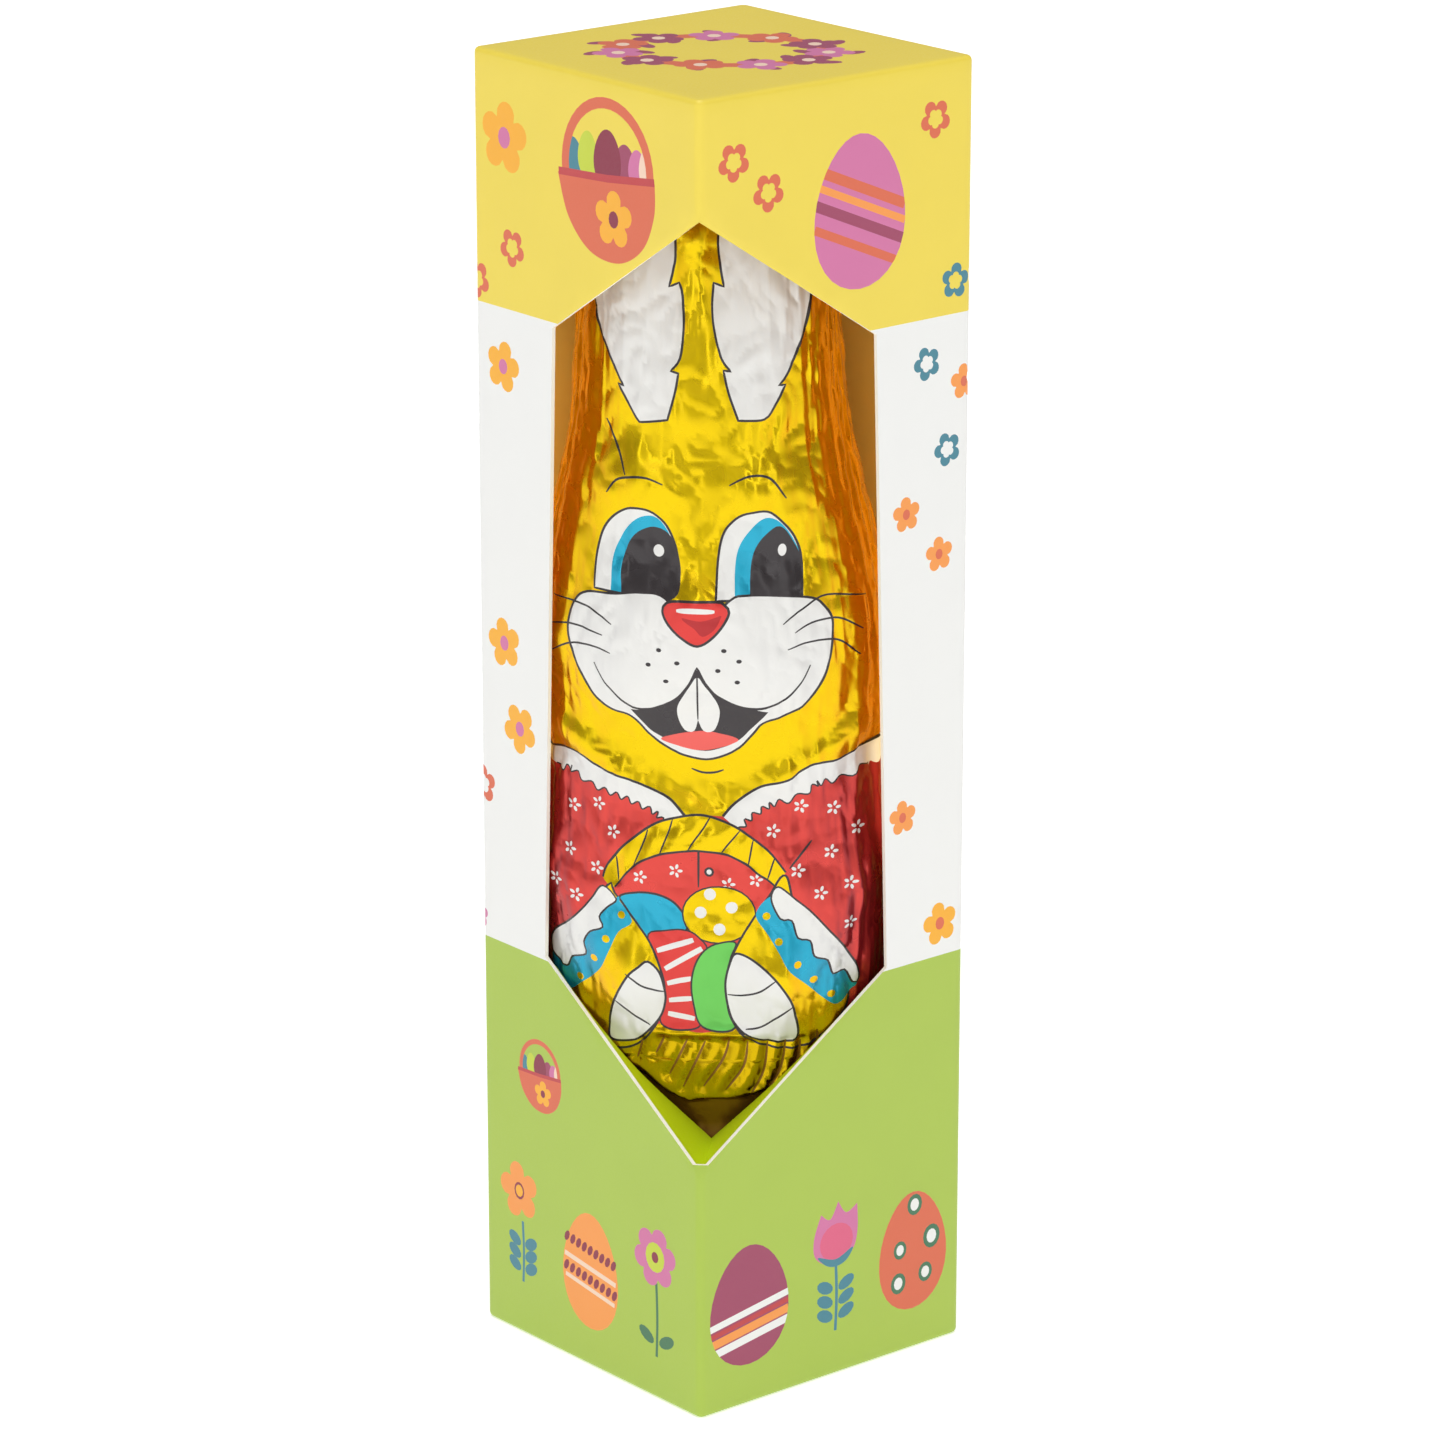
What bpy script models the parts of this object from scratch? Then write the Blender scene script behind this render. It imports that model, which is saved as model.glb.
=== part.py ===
"""A chocolate bunny in foil, standing in a square board carton with a window round its front edge.

The carton stands with one upright edge to the front, at -Y, and the bunny looks out over that edge.
The origin is the centre of the carton's base. Lengths are metres.
"""

import math

import bmesh
import bpy
import numpy as np
from mathutils import Matrix, Vector

MM = 0.001
GAP = 0.3 * MM

# Carton: a square tube of folded board, shut at both ends.
CARTON_HEIGHT = 200.0 * MM
CARTON_SIDE = 52.0 * MM
BOARD = 0.6 * MM
FOLD_RADIUS = 1.2 * MM
RIM_RADIUS = 0.5 * MM
FRONT_EDGE_Y = -CARTON_SIDE / math.sqrt(2)

# Window: its half outline on one side wall, as (distance from the front edge, height).
WINDOW_TIP = (0.0, 39.3 * MM)
WINDOW_LOW_SHOULDER = (36.3 * MM, 63.4 * MM)
WINDOW_HIGH_SHOULDER = (33.3 * MM, 161.3 * MM)
WINDOW_APEX = (0.0, 182.6 * MM)

# The corner of board below the window is pushed in along the window's two lower edges.
FLAP_LENGTH = 27.0 * MM
FLAP_INSET = 0.15 * MM
FLAP_CLEARANCE = 0.4 * MM

# Bunny: heights are above its own base, and widths are measured from its upright middle line.
BUNNY_HEIGHT = 189.0 * MM
BUNNY_SEGMENTS = 68
BUNNY_RINGS = 60
SECTION_POWER = 2.1
LEAN = -2.4 * MM
EAR_DOME_START = 178.0 * MM
EAR_NOTCH_DEPTH = 9.0 * MM
EAR_NOTCH_HALF_WIDTH = 4.6 * MM
EAR_NOTCH_START = 172.0 * MM

# Height, half width and half depth of the body, from the base to the ears.
BODY_SECTIONS = (
    (0.0, 16.5, 12.0),
    (5.0, 20.5, 15.0),
    (18.0, 23.0, 16.2),
    (34.0, 24.2, 16.8),
    (46.0, 25.6, 18.8),
    (62.0, 26.3, 19.2),
    (80.0, 26.6, 19.2),
    (96.0, 25.8, 18.0),
    (112.0, 26.3, 18.6),
    (128.0, 24.2, 18.0),
    (144.0, 20.8, 16.2),
    (160.0, 19.4, 14.6),
    (176.0, 18.4, 12.8),
    (190.0, 17.0, 11.0),
)

# Low relief on the front, in pairs where x isn't 0: x, height, half width, half height and rise.
FRONT_BUMPS = (
    ("muzzle", 0.0, 115.0, 17.0, 10.0, 1.6),
    ("cheek", 8.6, 108.5, 7.5, 6.0, 0.9),
    ("nose", 0.0, 121.0, 4.2, 3.2, 1.2),
    ("brow", 9.4, 137.5, 7.0, 4.5, 0.8),
    ("eye", 9.4, 128.0, 5.5, 6.0, -0.7),
    ("ear", 9.6, 166.0, 6.5, 20.0, 0.9),
    ("throat", 0.0, 92.5, 9.0, 5.0, -1.0),
    ("eggs", 0.0, 66.0, 9.0, 8.5, 1.1),
    ("paw", 9.8, 60.5, 5.2, 7.5, 1.3),
    ("basket", 0.0, 49.0, 19.0, 5.0, 1.0),
)
# Ridges on the front run from a point to a point: x, height, x, height, half width and rise.
FRONT_RIDGES = (
    ("arm", 22.0, 76.0, 12.0, 63.0, 4.8, 1.2),
    ("collar", 4.0, 89.5, 24.0, 100.5, 2.2, 0.7),
)
# The basket's handle is an arch over the eggs.
HANDLE_MIDDLE = 74.0
HANDLE_HALF_SPAN = 12.9
HANDLE_RISE = 11.6
HANDLE_HALF_WIDTH = 2.6
HANDLE_RELIEF = 0.8
EAR_GROOVE_HALF_WIDTH = 3.6
EAR_GROOVE_DEPTH = 1.8
EAR_GROOVE_START = 148.0
TAIL = (24.0, 8.0, 1.6)


def smooth_step(low, high, value):
    """Rises smoothly from 0 at low to 1 at high."""
    share = np.clip((value - low) / (high - low), 0.0, 1.0)
    return share * share * (3.0 - 2.0 * share)


def curve_through(stations, column, height):
    """A smooth curve through one column of the body's sections, at the given heights in millimetres."""
    heights = np.array([row[0] for row in stations])
    values = np.array([row[column] for row in stations])
    slopes = np.gradient(values, heights)
    index = np.clip(np.searchsorted(heights, height) - 1, 0, len(heights) - 2)
    span = heights[index + 1] - heights[index]
    share = (height - heights[index]) / span
    rest = 1.0 - share
    return (
        (1.0 + 2.0 * share) * rest**2 * values[index]
        + share * rest**2 * span * slopes[index]
        + share**2 * (3.0 - 2.0 * share) * values[index + 1]
        - share**2 * rest * span * slopes[index + 1]
    )


def bump(across, height, half_width, half_height):
    return np.exp(-((across / half_width) ** 2) - (height / half_height) ** 2)


def segment_distance(x, z, start_x, start_z, end_x, end_z):
    run_x = end_x - start_x
    run_z = end_z - start_z
    share = ((x - start_x) * run_x + (z - start_z) * run_z) / (run_x**2 + run_z**2)
    share = np.clip(share, 0.0, 1.0)
    return np.hypot(x - start_x - share * run_x, z - start_z - share * run_z)


def front_relief(x, z):
    """How far the front stands out of the plain body, in millimetres, mirrored left to right."""
    side = np.abs(x)
    rise = np.zeros_like(x)
    for _name, place, height, half_width, half_height, amount in FRONT_BUMPS:
        rise = rise + amount * bump(side - place, z - height, half_width, half_height)
    for _name, x0, z0, x1, z1, half_width, amount in FRONT_RIDGES:
        away = segment_distance(side, z, x0, z0, x1, z1)
        rise = rise + amount * np.exp(-((away / half_width) ** 2))
    arch = np.hypot(x / HANDLE_HALF_SPAN, (z - HANDLE_MIDDLE) / HANDLE_RISE) - 1.0
    arch = arch * min(HANDLE_HALF_SPAN, HANDLE_RISE)
    upper = smooth_step(HANDLE_MIDDLE - 1.0, HANDLE_MIDDLE + 3.0, z)
    return rise + HANDLE_RELIEF * upper * np.exp(-((arch / HANDLE_HALF_WIDTH) ** 2))


def bunny_surface(angle, height, grow=0.0):
    """Points of the bunny's skin, in metres above its own base.

    angle is 0 at the front and a quarter turn at +X. height is in metres before the ears' notch.
    grow moves the skin outwards.
    """
    z = np.asarray(height) / MM
    width = curve_through(BODY_SECTIONS, 1, z)
    depth = curve_through(BODY_SECTIONS, 2, z)
    over = np.clip((z - EAR_DOME_START / MM) / ((BUNNY_HEIGHT - EAR_DOME_START) / MM), 0.0, 1.0)
    dome = (1.0 - over**2.4) ** (1.0 / 2.4)
    power = 2.0 / SECTION_POWER
    across = np.sign(np.sin(angle)) * np.abs(np.sin(angle)) ** power
    along = np.sign(np.cos(angle)) * np.abs(np.cos(angle)) ** power
    x = width * dome * across
    front = smooth_step(-0.1, 0.55, along)
    back = smooth_step(-0.1, 0.55, -along)
    relief = front * front_relief(x, z)
    groove = smooth_step(EAR_GROOVE_START, EAR_GROOVE_START + 18.0, z)
    groove = groove * EAR_GROOVE_DEPTH * np.exp(-((x / EAR_GROOVE_HALF_WIDTH) ** 2))
    tail_height, tail_half_width, tail_rise = TAIL
    tail = tail_rise * bump(x, z - tail_height, tail_half_width, tail_half_width)
    relief = relief - (front + back) * groove + back * tail
    relief = relief * dome + grow / MM
    out_x = across / width
    out_y = along / depth
    length = np.hypot(out_x, out_y)
    x = x + relief * out_x / length
    y = -depth * dome * along - relief * out_y / length
    notch = smooth_step(EAR_NOTCH_START, BUNNY_HEIGHT, np.asarray(height))
    notch = notch * EAR_NOTCH_DEPTH / MM * np.exp(-((x / (EAR_NOTCH_HALF_WIDTH / MM)) ** 2))
    x = x + LEAN / MM * z / (BUNNY_HEIGHT / MM)
    return np.stack([x, y, z - notch], axis=-1) * MM


def clear_scene():
    for item in list(bpy.data.objects):
        bpy.data.objects.remove(item, do_unlink=True)


def new_collection(name):
    group = bpy.data.collections.new(name)
    bpy.context.scene.collection.children.link(group)
    return group


def principled(name, color, roughness, metallic):
    material = bpy.data.materials.new(name)
    material.use_nodes = True
    shader = material.node_tree.nodes["Principled BSDF"]
    shader.inputs["Base Color"].default_value = (*color, 1.0)
    shader.inputs["Roughness"].default_value = roughness
    shader.inputs["Metallic"].default_value = metallic
    return material


def object_from(shape, name, group):
    mesh = bpy.data.meshes.new(name)
    shape.to_mesh(mesh)
    shape.free()
    item = bpy.data.objects.new(name, mesh)
    group.objects.link(item)
    return item


def guide(item):
    """Marks a piece that only cuts or joins another."""
    item.hide_render = True
    item.display_type = "WIRE"
    return item


def boolean(item, operation, other):
    step = item.modifiers.new(f"{operation.lower()}_{other.name}", "BOOLEAN")
    step.operation = operation
    step.solver = "EXACT"
    step.object = other


def square_box(name, side, bottom, top, upright_radius, rim_radius, group):
    """An upright square box, turned to stand edge on, with rounded folds."""
    shape = bmesh.new()
    bmesh.ops.create_cube(shape, size=1.0)
    size = Matrix.Diagonal((side, side, top - bottom, 1.0))
    place = Matrix.Translation((0.0, 0.0, (top + bottom) / 2))
    bmesh.ops.transform(shape, matrix=place @ size, verts=shape.verts)
    upright = [e for e in shape.edges if abs(e.verts[0].co.z - e.verts[1].co.z) > side]
    bmesh.ops.bevel(
        shape, geom=upright, offset=upright_radius, segments=3, profile=0.5, affect="EDGES"
    )
    rims = [
        e
        for e in shape.edges
        if abs(e.verts[0].co.z - e.verts[1].co.z) < rim_radius
        and sum(abs(f.normal.z) > 0.5 for f in e.link_faces) == 1
    ]
    bmesh.ops.bevel(shape, geom=rims, offset=rim_radius, segments=2, profile=0.5, affect="EDGES")
    turn = Matrix.Rotation(math.pi / 4, 4, "Z")
    bmesh.ops.transform(shape, matrix=turn, verts=shape.verts)
    return object_from(shape, name, group)


def wall_point(place, depth=0.0):
    """A point on the right-hand front wall, from its distance to the front edge and its height."""
    along, height = place
    reach = along / math.sqrt(2)
    return Vector((reach, FRONT_EDGE_Y + reach + depth * math.sqrt(2), height))


def mirrored(point):
    return Vector((-point.x, point.y, point.z))


def window_cutter(group):
    """The window's outline as a prism that runs from the front through both front walls."""
    right = [wall_point(p) for p in (WINDOW_LOW_SHOULDER, WINDOW_HIGH_SHOULDER)]
    tip = wall_point(WINDOW_TIP)
    apex = wall_point(WINDOW_APEX)
    outline = [tip, *right, apex, mirrored(right[1]), mirrored(right[0])]
    start = 2 * FRONT_EDGE_Y
    end = -4.0 * MM
    shape = bmesh.new()
    corners = [shape.verts.new((p.x, start, p.z)) for p in outline]
    face = bmesh.ops.contextual_create(shape, geom=corners)["faces"][0]
    pushed = bmesh.ops.extrude_face_region(shape, geom=[face])["geom"]
    moved = [v for v in pushed if isinstance(v, bmesh.types.BMVert)]
    bmesh.ops.translate(shape, verts=moved, vec=(0.0, end - start, 0.0))
    bmesh.ops.recalc_face_normals(shape, faces=shape.faces)
    return guide(object_from(shape, "window_cutter", group))


def bunny_shape(grow, base):
    """The bunny's closed skin: a ball whose rings are set on the body's sections."""
    shape = bmesh.new()
    bmesh.ops.create_uvsphere(
        shape, u_segments=BUNNY_SEGMENTS, v_segments=BUNNY_RINGS, radius=1.0
    )
    ball = np.array([v.co for v in shape.verts])
    angle = np.arctan2(ball[:, 0], -ball[:, 1])
    climb = np.arccos(np.clip(-ball[:, 2], -1.0, 1.0)) / math.pi
    ring = np.round(climb * BUNNY_RINGS)
    share = np.clip((ring - 1.0) / (BUNNY_RINGS - 1.0), 0.0, 1.0)
    share = 0.5 * share + 0.25 * (1.0 - np.cos(math.pi * share))
    place = bunny_surface(angle, share * BUNNY_HEIGHT, grow)
    place[ring == 0] = (0.0, 0.0, 0.0)
    lift = base - grow + share * 2.0 * grow
    place[:, 2] += lift
    for vert, co in zip(shape.verts, place):
        vert.co = co
    return shape


def make_flap(clearance_cutter, group):
    """The pushed-in corner of board, a mirror image of the corner above the two creases."""
    tip = wall_point(WINDOW_TIP, FLAP_INSET)
    right = wall_point(WINDOW_LOW_SHOULDER, FLAP_INSET)
    left = mirrored(right)
    across = (right - tip).cross(left - tip).normalized()
    upward = Vector((0.0, 0.0, 1.0))
    fold = upward - 2.0 * upward.dot(across) * across
    end = tip + fold * FLAP_LENGTH
    drop = Vector((0.0, 0.0, -FLAP_INSET))
    shape = bmesh.new()
    v_tip, v_right, v_end, v_left = (
        shape.verts.new(p + drop) for p in (tip, right, end, left)
    )
    bmesh.ops.contextual_create(shape, geom=[v_tip, v_right, v_end])
    bmesh.ops.contextual_create(shape, geom=[v_tip, v_end, v_left])
    bmesh.ops.recalc_face_normals(shape, faces=shape.faces)
    if sum(f.normal.z for f in shape.faces) < 0:
        bmesh.ops.reverse_faces(shape, faces=shape.faces)
    flap = guide(object_from(shape, "corner_flap", group))
    sheet = flap.modifiers.new("board", "SOLIDIFY")
    sheet.thickness = BOARD
    sheet.offset = -1.0
    sheet.use_even_offset = True
    boolean(flap, "DIFFERENCE", clearance_cutter)
    return flap


def make_carton(group, guides):
    carton = square_box(
        "carton", CARTON_SIDE, 0.0, CARTON_HEIGHT, FOLD_RADIUS, RIM_RADIUS, group
    )
    hollow = guide(
        square_box(
            "carton_hollow",
            CARTON_SIDE - 2 * BOARD,
            BOARD,
            CARTON_HEIGHT - BOARD,
            FOLD_RADIUS - BOARD,
            RIM_RADIUS / 2,
            guides,
        )
    )
    around_bunny = guide(
        object_from(bunny_shape(FLAP_CLEARANCE, BOARD + GAP), "around_bunny", guides)
    )
    boolean(carton, "DIFFERENCE", hollow)
    boolean(carton, "DIFFERENCE", window_cutter(guides))
    boolean(carton, "UNION", make_flap(around_bunny, guides))
    carton.data.materials.append(principled("printed_board", (0.87, 0.86, 0.83), 0.5, 0.0))
    return carton


def make_bunny(group):
    bunny = object_from(bunny_shape(0.0, BOARD + GAP), "bunny", group)
    bunny.data.shade_smooth()
    bunny.data.materials.append(principled("printed_foil", (0.80, 0.55, 0.06), 0.3, 0.9))
    return bunny


clear_scene()
parts = new_collection("chocolate_bunny")
guides = new_collection("guides")
make_carton(parts, guides)
make_bunny(parts)
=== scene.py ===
"""Looks of a chocolate bunny in printed foil, standing in a board carton with a window round its front edge.

Shapes and prints are worked out in millimetres and made into meshes in metres. A print is a set of
outlines on a flat sheet. The sheet is cut into triangles along them, and then bent into its place.
"""

import math

import bpy
import numpy as np
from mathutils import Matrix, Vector
from mathutils.geometry import delaunay_2d_cdt
from mathutils.kdtree import KDTree


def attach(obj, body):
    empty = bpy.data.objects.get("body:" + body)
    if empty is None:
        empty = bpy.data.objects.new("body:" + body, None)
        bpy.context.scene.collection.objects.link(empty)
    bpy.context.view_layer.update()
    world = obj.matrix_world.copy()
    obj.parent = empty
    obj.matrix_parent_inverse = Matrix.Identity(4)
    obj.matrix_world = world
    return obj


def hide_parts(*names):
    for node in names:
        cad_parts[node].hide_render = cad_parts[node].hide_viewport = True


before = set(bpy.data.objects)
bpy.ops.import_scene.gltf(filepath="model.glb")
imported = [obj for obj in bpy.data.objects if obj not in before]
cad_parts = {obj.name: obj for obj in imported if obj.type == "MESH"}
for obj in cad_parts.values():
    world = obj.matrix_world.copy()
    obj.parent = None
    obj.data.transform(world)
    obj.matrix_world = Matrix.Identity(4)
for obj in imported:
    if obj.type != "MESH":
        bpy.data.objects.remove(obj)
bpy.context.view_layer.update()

MM = 0.001

# Camera, at the photograph's viewing angle.
EYE = np.array((78.2, -866.4, 371.0))
HEADING = math.radians(5.18)
PITCH = math.radians(17.42)
LENS = 151.7
SENSOR = 36.0

# Carton, in millimetres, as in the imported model.
CARTON_HEIGHT = 200.0
CARTON_SIDE = 52.0
BOARD = 0.6
FOLD_RADIUS = 1.2
RIM_RADIUS = 0.8
HALF_ROUND = 2 * CARTON_SIDE
FRONT_EDGE_Y = -CARTON_SIDE / math.sqrt(2)
WINDOW_TIP = (0.0, 39.3)
WINDOW_LOW_SHOULDER = (36.3, 63.4)
WINDOW_HIGH_SHOULDER = (33.3, 161.3)
WINDOW_APEX = (0.0, 182.6)
BLUNT_TIP = 1.6
GREEN_TOP = 62.9
WHITE_TOP = 162.1
WALL_BOW = 0.25
SEAM_WIDTH = 0.45
HAIR = 1e-4
LID_REACH = 34.0
LID_MARGIN = 2.4
FLAP_LENGTH = 27.0
FLAP_CLEARANCE = 0.9
FLAP_SINK = 0.25
FLAP_ROWS = 24
FLAP_COLUMNS = 30

# Bunny, in millimetres above its own base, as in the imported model.
BUNNY_BASE = 0.9
BUNNY_HEIGHT = 189.0
SECTION_POWER = 2.1
LEAN = -2.4
EAR_DOME_START = 178.0
EAR_DOME_POWER = 2.4
EAR_NOTCH_DEPTH = 9.0
EAR_NOTCH_HALF_WIDTH = 4.6
EAR_NOTCH_START = 172.0
# Height, half width and half depth.
BODY_SECTIONS = (
    (0.0, 16.5, 12.0),
    (5.0, 20.5, 15.0),
    (18.0, 23.0, 16.2),
    (34.0, 24.2, 16.8),
    (46.0, 25.6, 18.8),
    (62.0, 26.3, 19.2),
    (80.0, 26.6, 19.2),
    (96.0, 25.8, 18.0),
    (112.0, 26.3, 18.6),
    (128.0, 24.2, 18.0),
    (144.0, 20.8, 16.2),
    (160.0, 19.4, 14.6),
    (176.0, 18.4, 12.8),
    (190.0, 17.0, 11.0),
)
# What it is, its place to either side, height, half width, half height and rise.
FRONT_BUMPS = (
    ("muzzle", 0.0, 115.0, 17.0, 10.0, 1.6),
    ("cheek", 8.6, 108.5, 7.5, 6.0, 0.9),
    ("nose", 0.0, 121.0, 4.2, 3.2, 1.2),
    ("brow", 9.4, 137.5, 7.0, 4.5, 0.8),
    ("eye", 9.4, 128.0, 5.5, 6.0, -0.7),
    ("ear", 9.6, 166.0, 6.5, 20.0, 0.9),
    ("throat", 0.0, 92.5, 9.0, 5.0, -1.0),
    ("eggs", 0.0, 66.0, 9.0, 8.5, 1.1),
    ("paw", 9.8, 60.5, 5.2, 7.5, 1.3),
    ("basket", 0.0, 49.0, 19.0, 5.0, 1.0),
)
# What it is, where it starts, where it ends, half width and rise.
FRONT_RIDGES = (
    ("arm", 22.0, 76.0, 12.0, 63.0, 4.8, 1.2),
    ("collar", 4.0, 89.5, 24.0, 100.5, 2.2, 0.7),
)
HANDLE_MIDDLE = 74.0
HANDLE_HALF_SPAN = 12.9
HANDLE_RISE = 11.6
HANDLE_HALF_WIDTH = 2.6
HANDLE_RELIEF = 0.8
EAR_GROOVE_HALF_WIDTH = 3.6
EAR_GROOVE_DEPTH = 1.8
EAR_GROOVE_START = 148.0
EAR_GROOVE_FADE = 18.0
# The shares of the way forward between which the front's and the back's relief sets in.
RELIEF_START = -0.1
RELIEF_FULL = 0.55
# Height, half width and rise.
TAIL = (24.0, 8.0, 1.6)

# Relief that only the foil shows, in millimetres.
CREASE_DEPTH = 0.8
CREASES_LEFT_IN_WEAVE = 0.25
WARP_SEEDS = (11, 12, 13)
WARP_CELL = 9.0
WARP_REACH = 2.2
# Kinds of crease: seed of the noise, cell across, cell upwards, depth.
BROAD_CREASES = (21, 5.4, 8.0, 0.58)
SHARP_CREASES = (22, 2.8, 4.2, 0.3)
FLUTES = (24, 3.2, 30.0, 0.9)
THREADS = (25, 1.5, 16.0, 0.22)
FLUTES_IN_FRONT = 0.12
BASE_FADE = 3.0
TOP_FADE = 8.0
STRAND_DEPTH = 0.7
STRAND_GROOVE = 0.85
TWIST_DEPTH = 0.45
TWIST_GROOVE = 1.1
# The drawn handle's middle, half span and rise.
DRAWN_HANDLE = (-1.4, 12.9, 11.4)
BASKET_RIM_HEIGHT = 54.4
BASKET_RIM_RISE = 0.7
BASKET_RIM_REACH = 9.0
STRAND_END_RISE = 0.35
WOVEN_REACH = 17.5
WOVEN_FADE = 3.5
FOOT_DEPTH = 0.9

# The foil's sheet is the bunny's skin laid flat: the angle round it times this radius, and the height.
SKIN_RADIUS = 23.0
SKIN_HALF = math.pi * SKIN_RADIUS
SKIN_STEP = 0.62
SKIN_BACK_STEP = 1.3
SKIN_FRONT_HALF = 42.0
BOARD_STEP = 2.6
CURVE_STEP = 0.7

# Lights and floor. Powers are in Blender's own units, and the strips' places and sizes are in metres.
WORLD_LIGHT = 0.34
TOP_POWER = 1.8
FRONT_POWER = 0.14
STRIP_POWER = 1.25
STRIP_SIZE = (0.2, 0.9)
STRIP_MIDDLE = 0.08
STRIP_SPREAD = 0.55
STRIP_AHEAD = -1.2
STRIP_HEIGHT = 0.55
STRIP_AIM = (0.0, 0.0, 0.12)
GLOW_POWER = 0.006
GLOW_SIZE = (0.011, 0.085)
GLOW_HEIGHT = 122.0
# In millimetres along a front wall from the front edge, and behind that wall.
GLOW_PLACE = (42.4, 1.6)
GLOW_AIM = (37.0, 9.0)
FLOOR_GLOW = 0.42
# In millimetres from the middle to a side.
FLOOR_REACH = 6000.0


def linear(red, green, blue):
    """A screen colour from 0 to 255 as the linear colour that a shader takes."""
    share = np.array((red, green, blue)) / 255.0
    return tuple(np.where(share <= 0.04045, share / 12.92, ((share + 0.055) / 1.055) ** 2.4))


# Materials

def add_node(tree, kind, output, mode=None, **inputs):
    """A new node's output. An input is a plain value, or another node's output to link to it."""
    node = tree.nodes.new("ShaderNode" + kind)
    if mode:
        setattr(node, *mode)
    for name, value in inputs.items():
        socket = node.inputs[name.replace("_", " ")]
        if isinstance(value, bpy.types.NodeSocket):
            tree.links.new(value, socket)
        else:
            socket.default_value = value
    return node.outputs[output]


def new_material(name, **inputs):
    """A material whose shader takes the inputs, which are plain values."""
    material = bpy.data.materials.new(name)
    material.use_nodes = True
    shader = material.node_tree.nodes["Principled BSDF"]
    for socket, value in inputs.items():
        shader.inputs[socket.replace("_", " ")].default_value = value
    return material, material.node_tree, shader


def noise_node(tree, scale, detail, stretch=(1.0, 1.0, 1.0)):
    """A noise of the object's own place, with scale in waves a metre."""
    place = add_node(tree, "TexCoord", "Object")
    place = add_node(tree, "Mapping", "Vector", Vector=place, Scale=stretch)
    return add_node(tree, "TexNoise", "Fac", Vector=place, Scale=scale, Detail=detail)


def ranged(tree, source, low, high, start=0.3, end=0.7):
    """Spreads a noise's middle range over the values from low to high."""
    limits = {"From_Min": start, "From_Max": end, "To_Min": low, "To_Max": high}
    return add_node(tree, "MapRange", "Result", Value=source, **limits)


def two_tones(tree, source, first, second):
    mode = ("data_type", "RGBA")
    return add_node(tree, "Mix", "Result", mode, Factor=source, A=(*first, 1.0), B=(*second, 1.0))


def bump_node(tree, height, strength, distance, **below):
    return add_node(tree, "Bump", "Normal", Height=height, Strength=strength, Distance=distance, **below)


def board_ink(name, color, roughness=0.42, mottle=0.05):
    """Coated folding board with flat ink: faint mottling, a soft sheen and the grain of the paper."""
    material, tree, shader = new_material(name)
    tone = linear(*color)
    darker = tuple(value * (1.0 - mottle) for value in tone)
    cloud = noise_node(tree, 90.0, 3.0)
    grain = noise_node(tree, 2600.0, 2.0)
    soft = bump_node(tree, noise_node(tree, 120.0, 1.0), 0.25, 0.0002)
    tree.links.new(two_tones(tree, cloud, darker, tone), shader.inputs["Base Color"])
    tree.links.new(ranged(tree, grain, roughness - 0.06, roughness + 0.06), shader.inputs["Roughness"])
    tree.links.new(bump_node(tree, grain, 0.12, 0.00004, Normal=soft), shader.inputs["Normal"])
    return material


def turned_away(tree):
    """How far the foil turns from the bunny's front or back, from 0 to 1: the share of painted shade in its
    colour.
    """
    facing = add_node(tree, "TexCoord", "Normal")
    forward = add_node(tree, "SeparateXYZ", "Y", Vector=facing)
    size = tree.nodes.new("ShaderNodeMath")
    size.operation = "ABSOLUTE"
    tree.links.new(forward, size.inputs[0])
    return ranged(tree, size.outputs["Value"], 0.0, 1.0, 0.95, 0.5)


def foil_ink(name, color, shade, metallic, roughness, crinkle=1.0):
    """Lacquer on foil, with painted shade that deepens its colour on facets that turn away, uneven gloss and
    the finest crinkles.
    """
    material, tree, shader = new_material(name, Metallic=metallic, Coat_Weight=0.1, Coat_Roughness=0.15)
    # Painted shade: facets that turn from the front or back take the deeper, more orange shade colour.
    tones = two_tones(tree, turned_away(tree), linear(*color), linear(*shade))
    haze = noise_node(tree, 240.0, 2.0)
    rough = bump_node(tree, noise_node(tree, 330.0, 1.0), 0.2 * crinkle, 0.0002)
    streaks = noise_node(tree, 760.0, 1.0, (1.0, 1.0, 0.12))
    tree.links.new(tones, shader.inputs["Base Color"])
    tree.links.new(ranged(tree, haze, roughness * 0.8, roughness * 1.25), shader.inputs["Roughness"])
    tree.links.new(bump_node(tree, streaks, 0.16 * crinkle, 0.0001, Normal=rough), shader.inputs["Normal"])
    return material


# Inks on the board: colour and, where they differ from the rest, roughness and mottling.
BOARD_LOOKS = {
    "yellow": ((240, 216, 78),),
    "white": ((239, 239, 236), 0.42, 0.02),
    "green": ((172, 198, 74),),
    # The pushed-in corner carries the walls' green print, brightened as painted light to make up for the
    # shade it lies in.
    "flap": ((204, 226, 22),),
    "coral": ((222, 106, 72),),
    "red": ((196, 62, 66),),
    "orange": ((248, 156, 72),),
    "amber": ((250, 178, 40),),
    "purple": ((160, 66, 98),),
    "pink": ((212, 116, 164),),
    "rose": ((224, 96, 132),),
    "teal": ((66, 132, 150),),
    "leaf": ((64, 118, 84),),
    "wine": ((140, 40, 66),),
    "cream": ((246, 214, 190),),
    "lime": ((200, 214, 60),),
    # The inside's cream-yellow is painted warm light, as if bounced off the gold foil on to plain board.
    "inside": ((250, 214, 112), 0.6, 0.06),
    "cut_edge": ((250, 246, 232), 0.6, 0.03),
}
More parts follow.
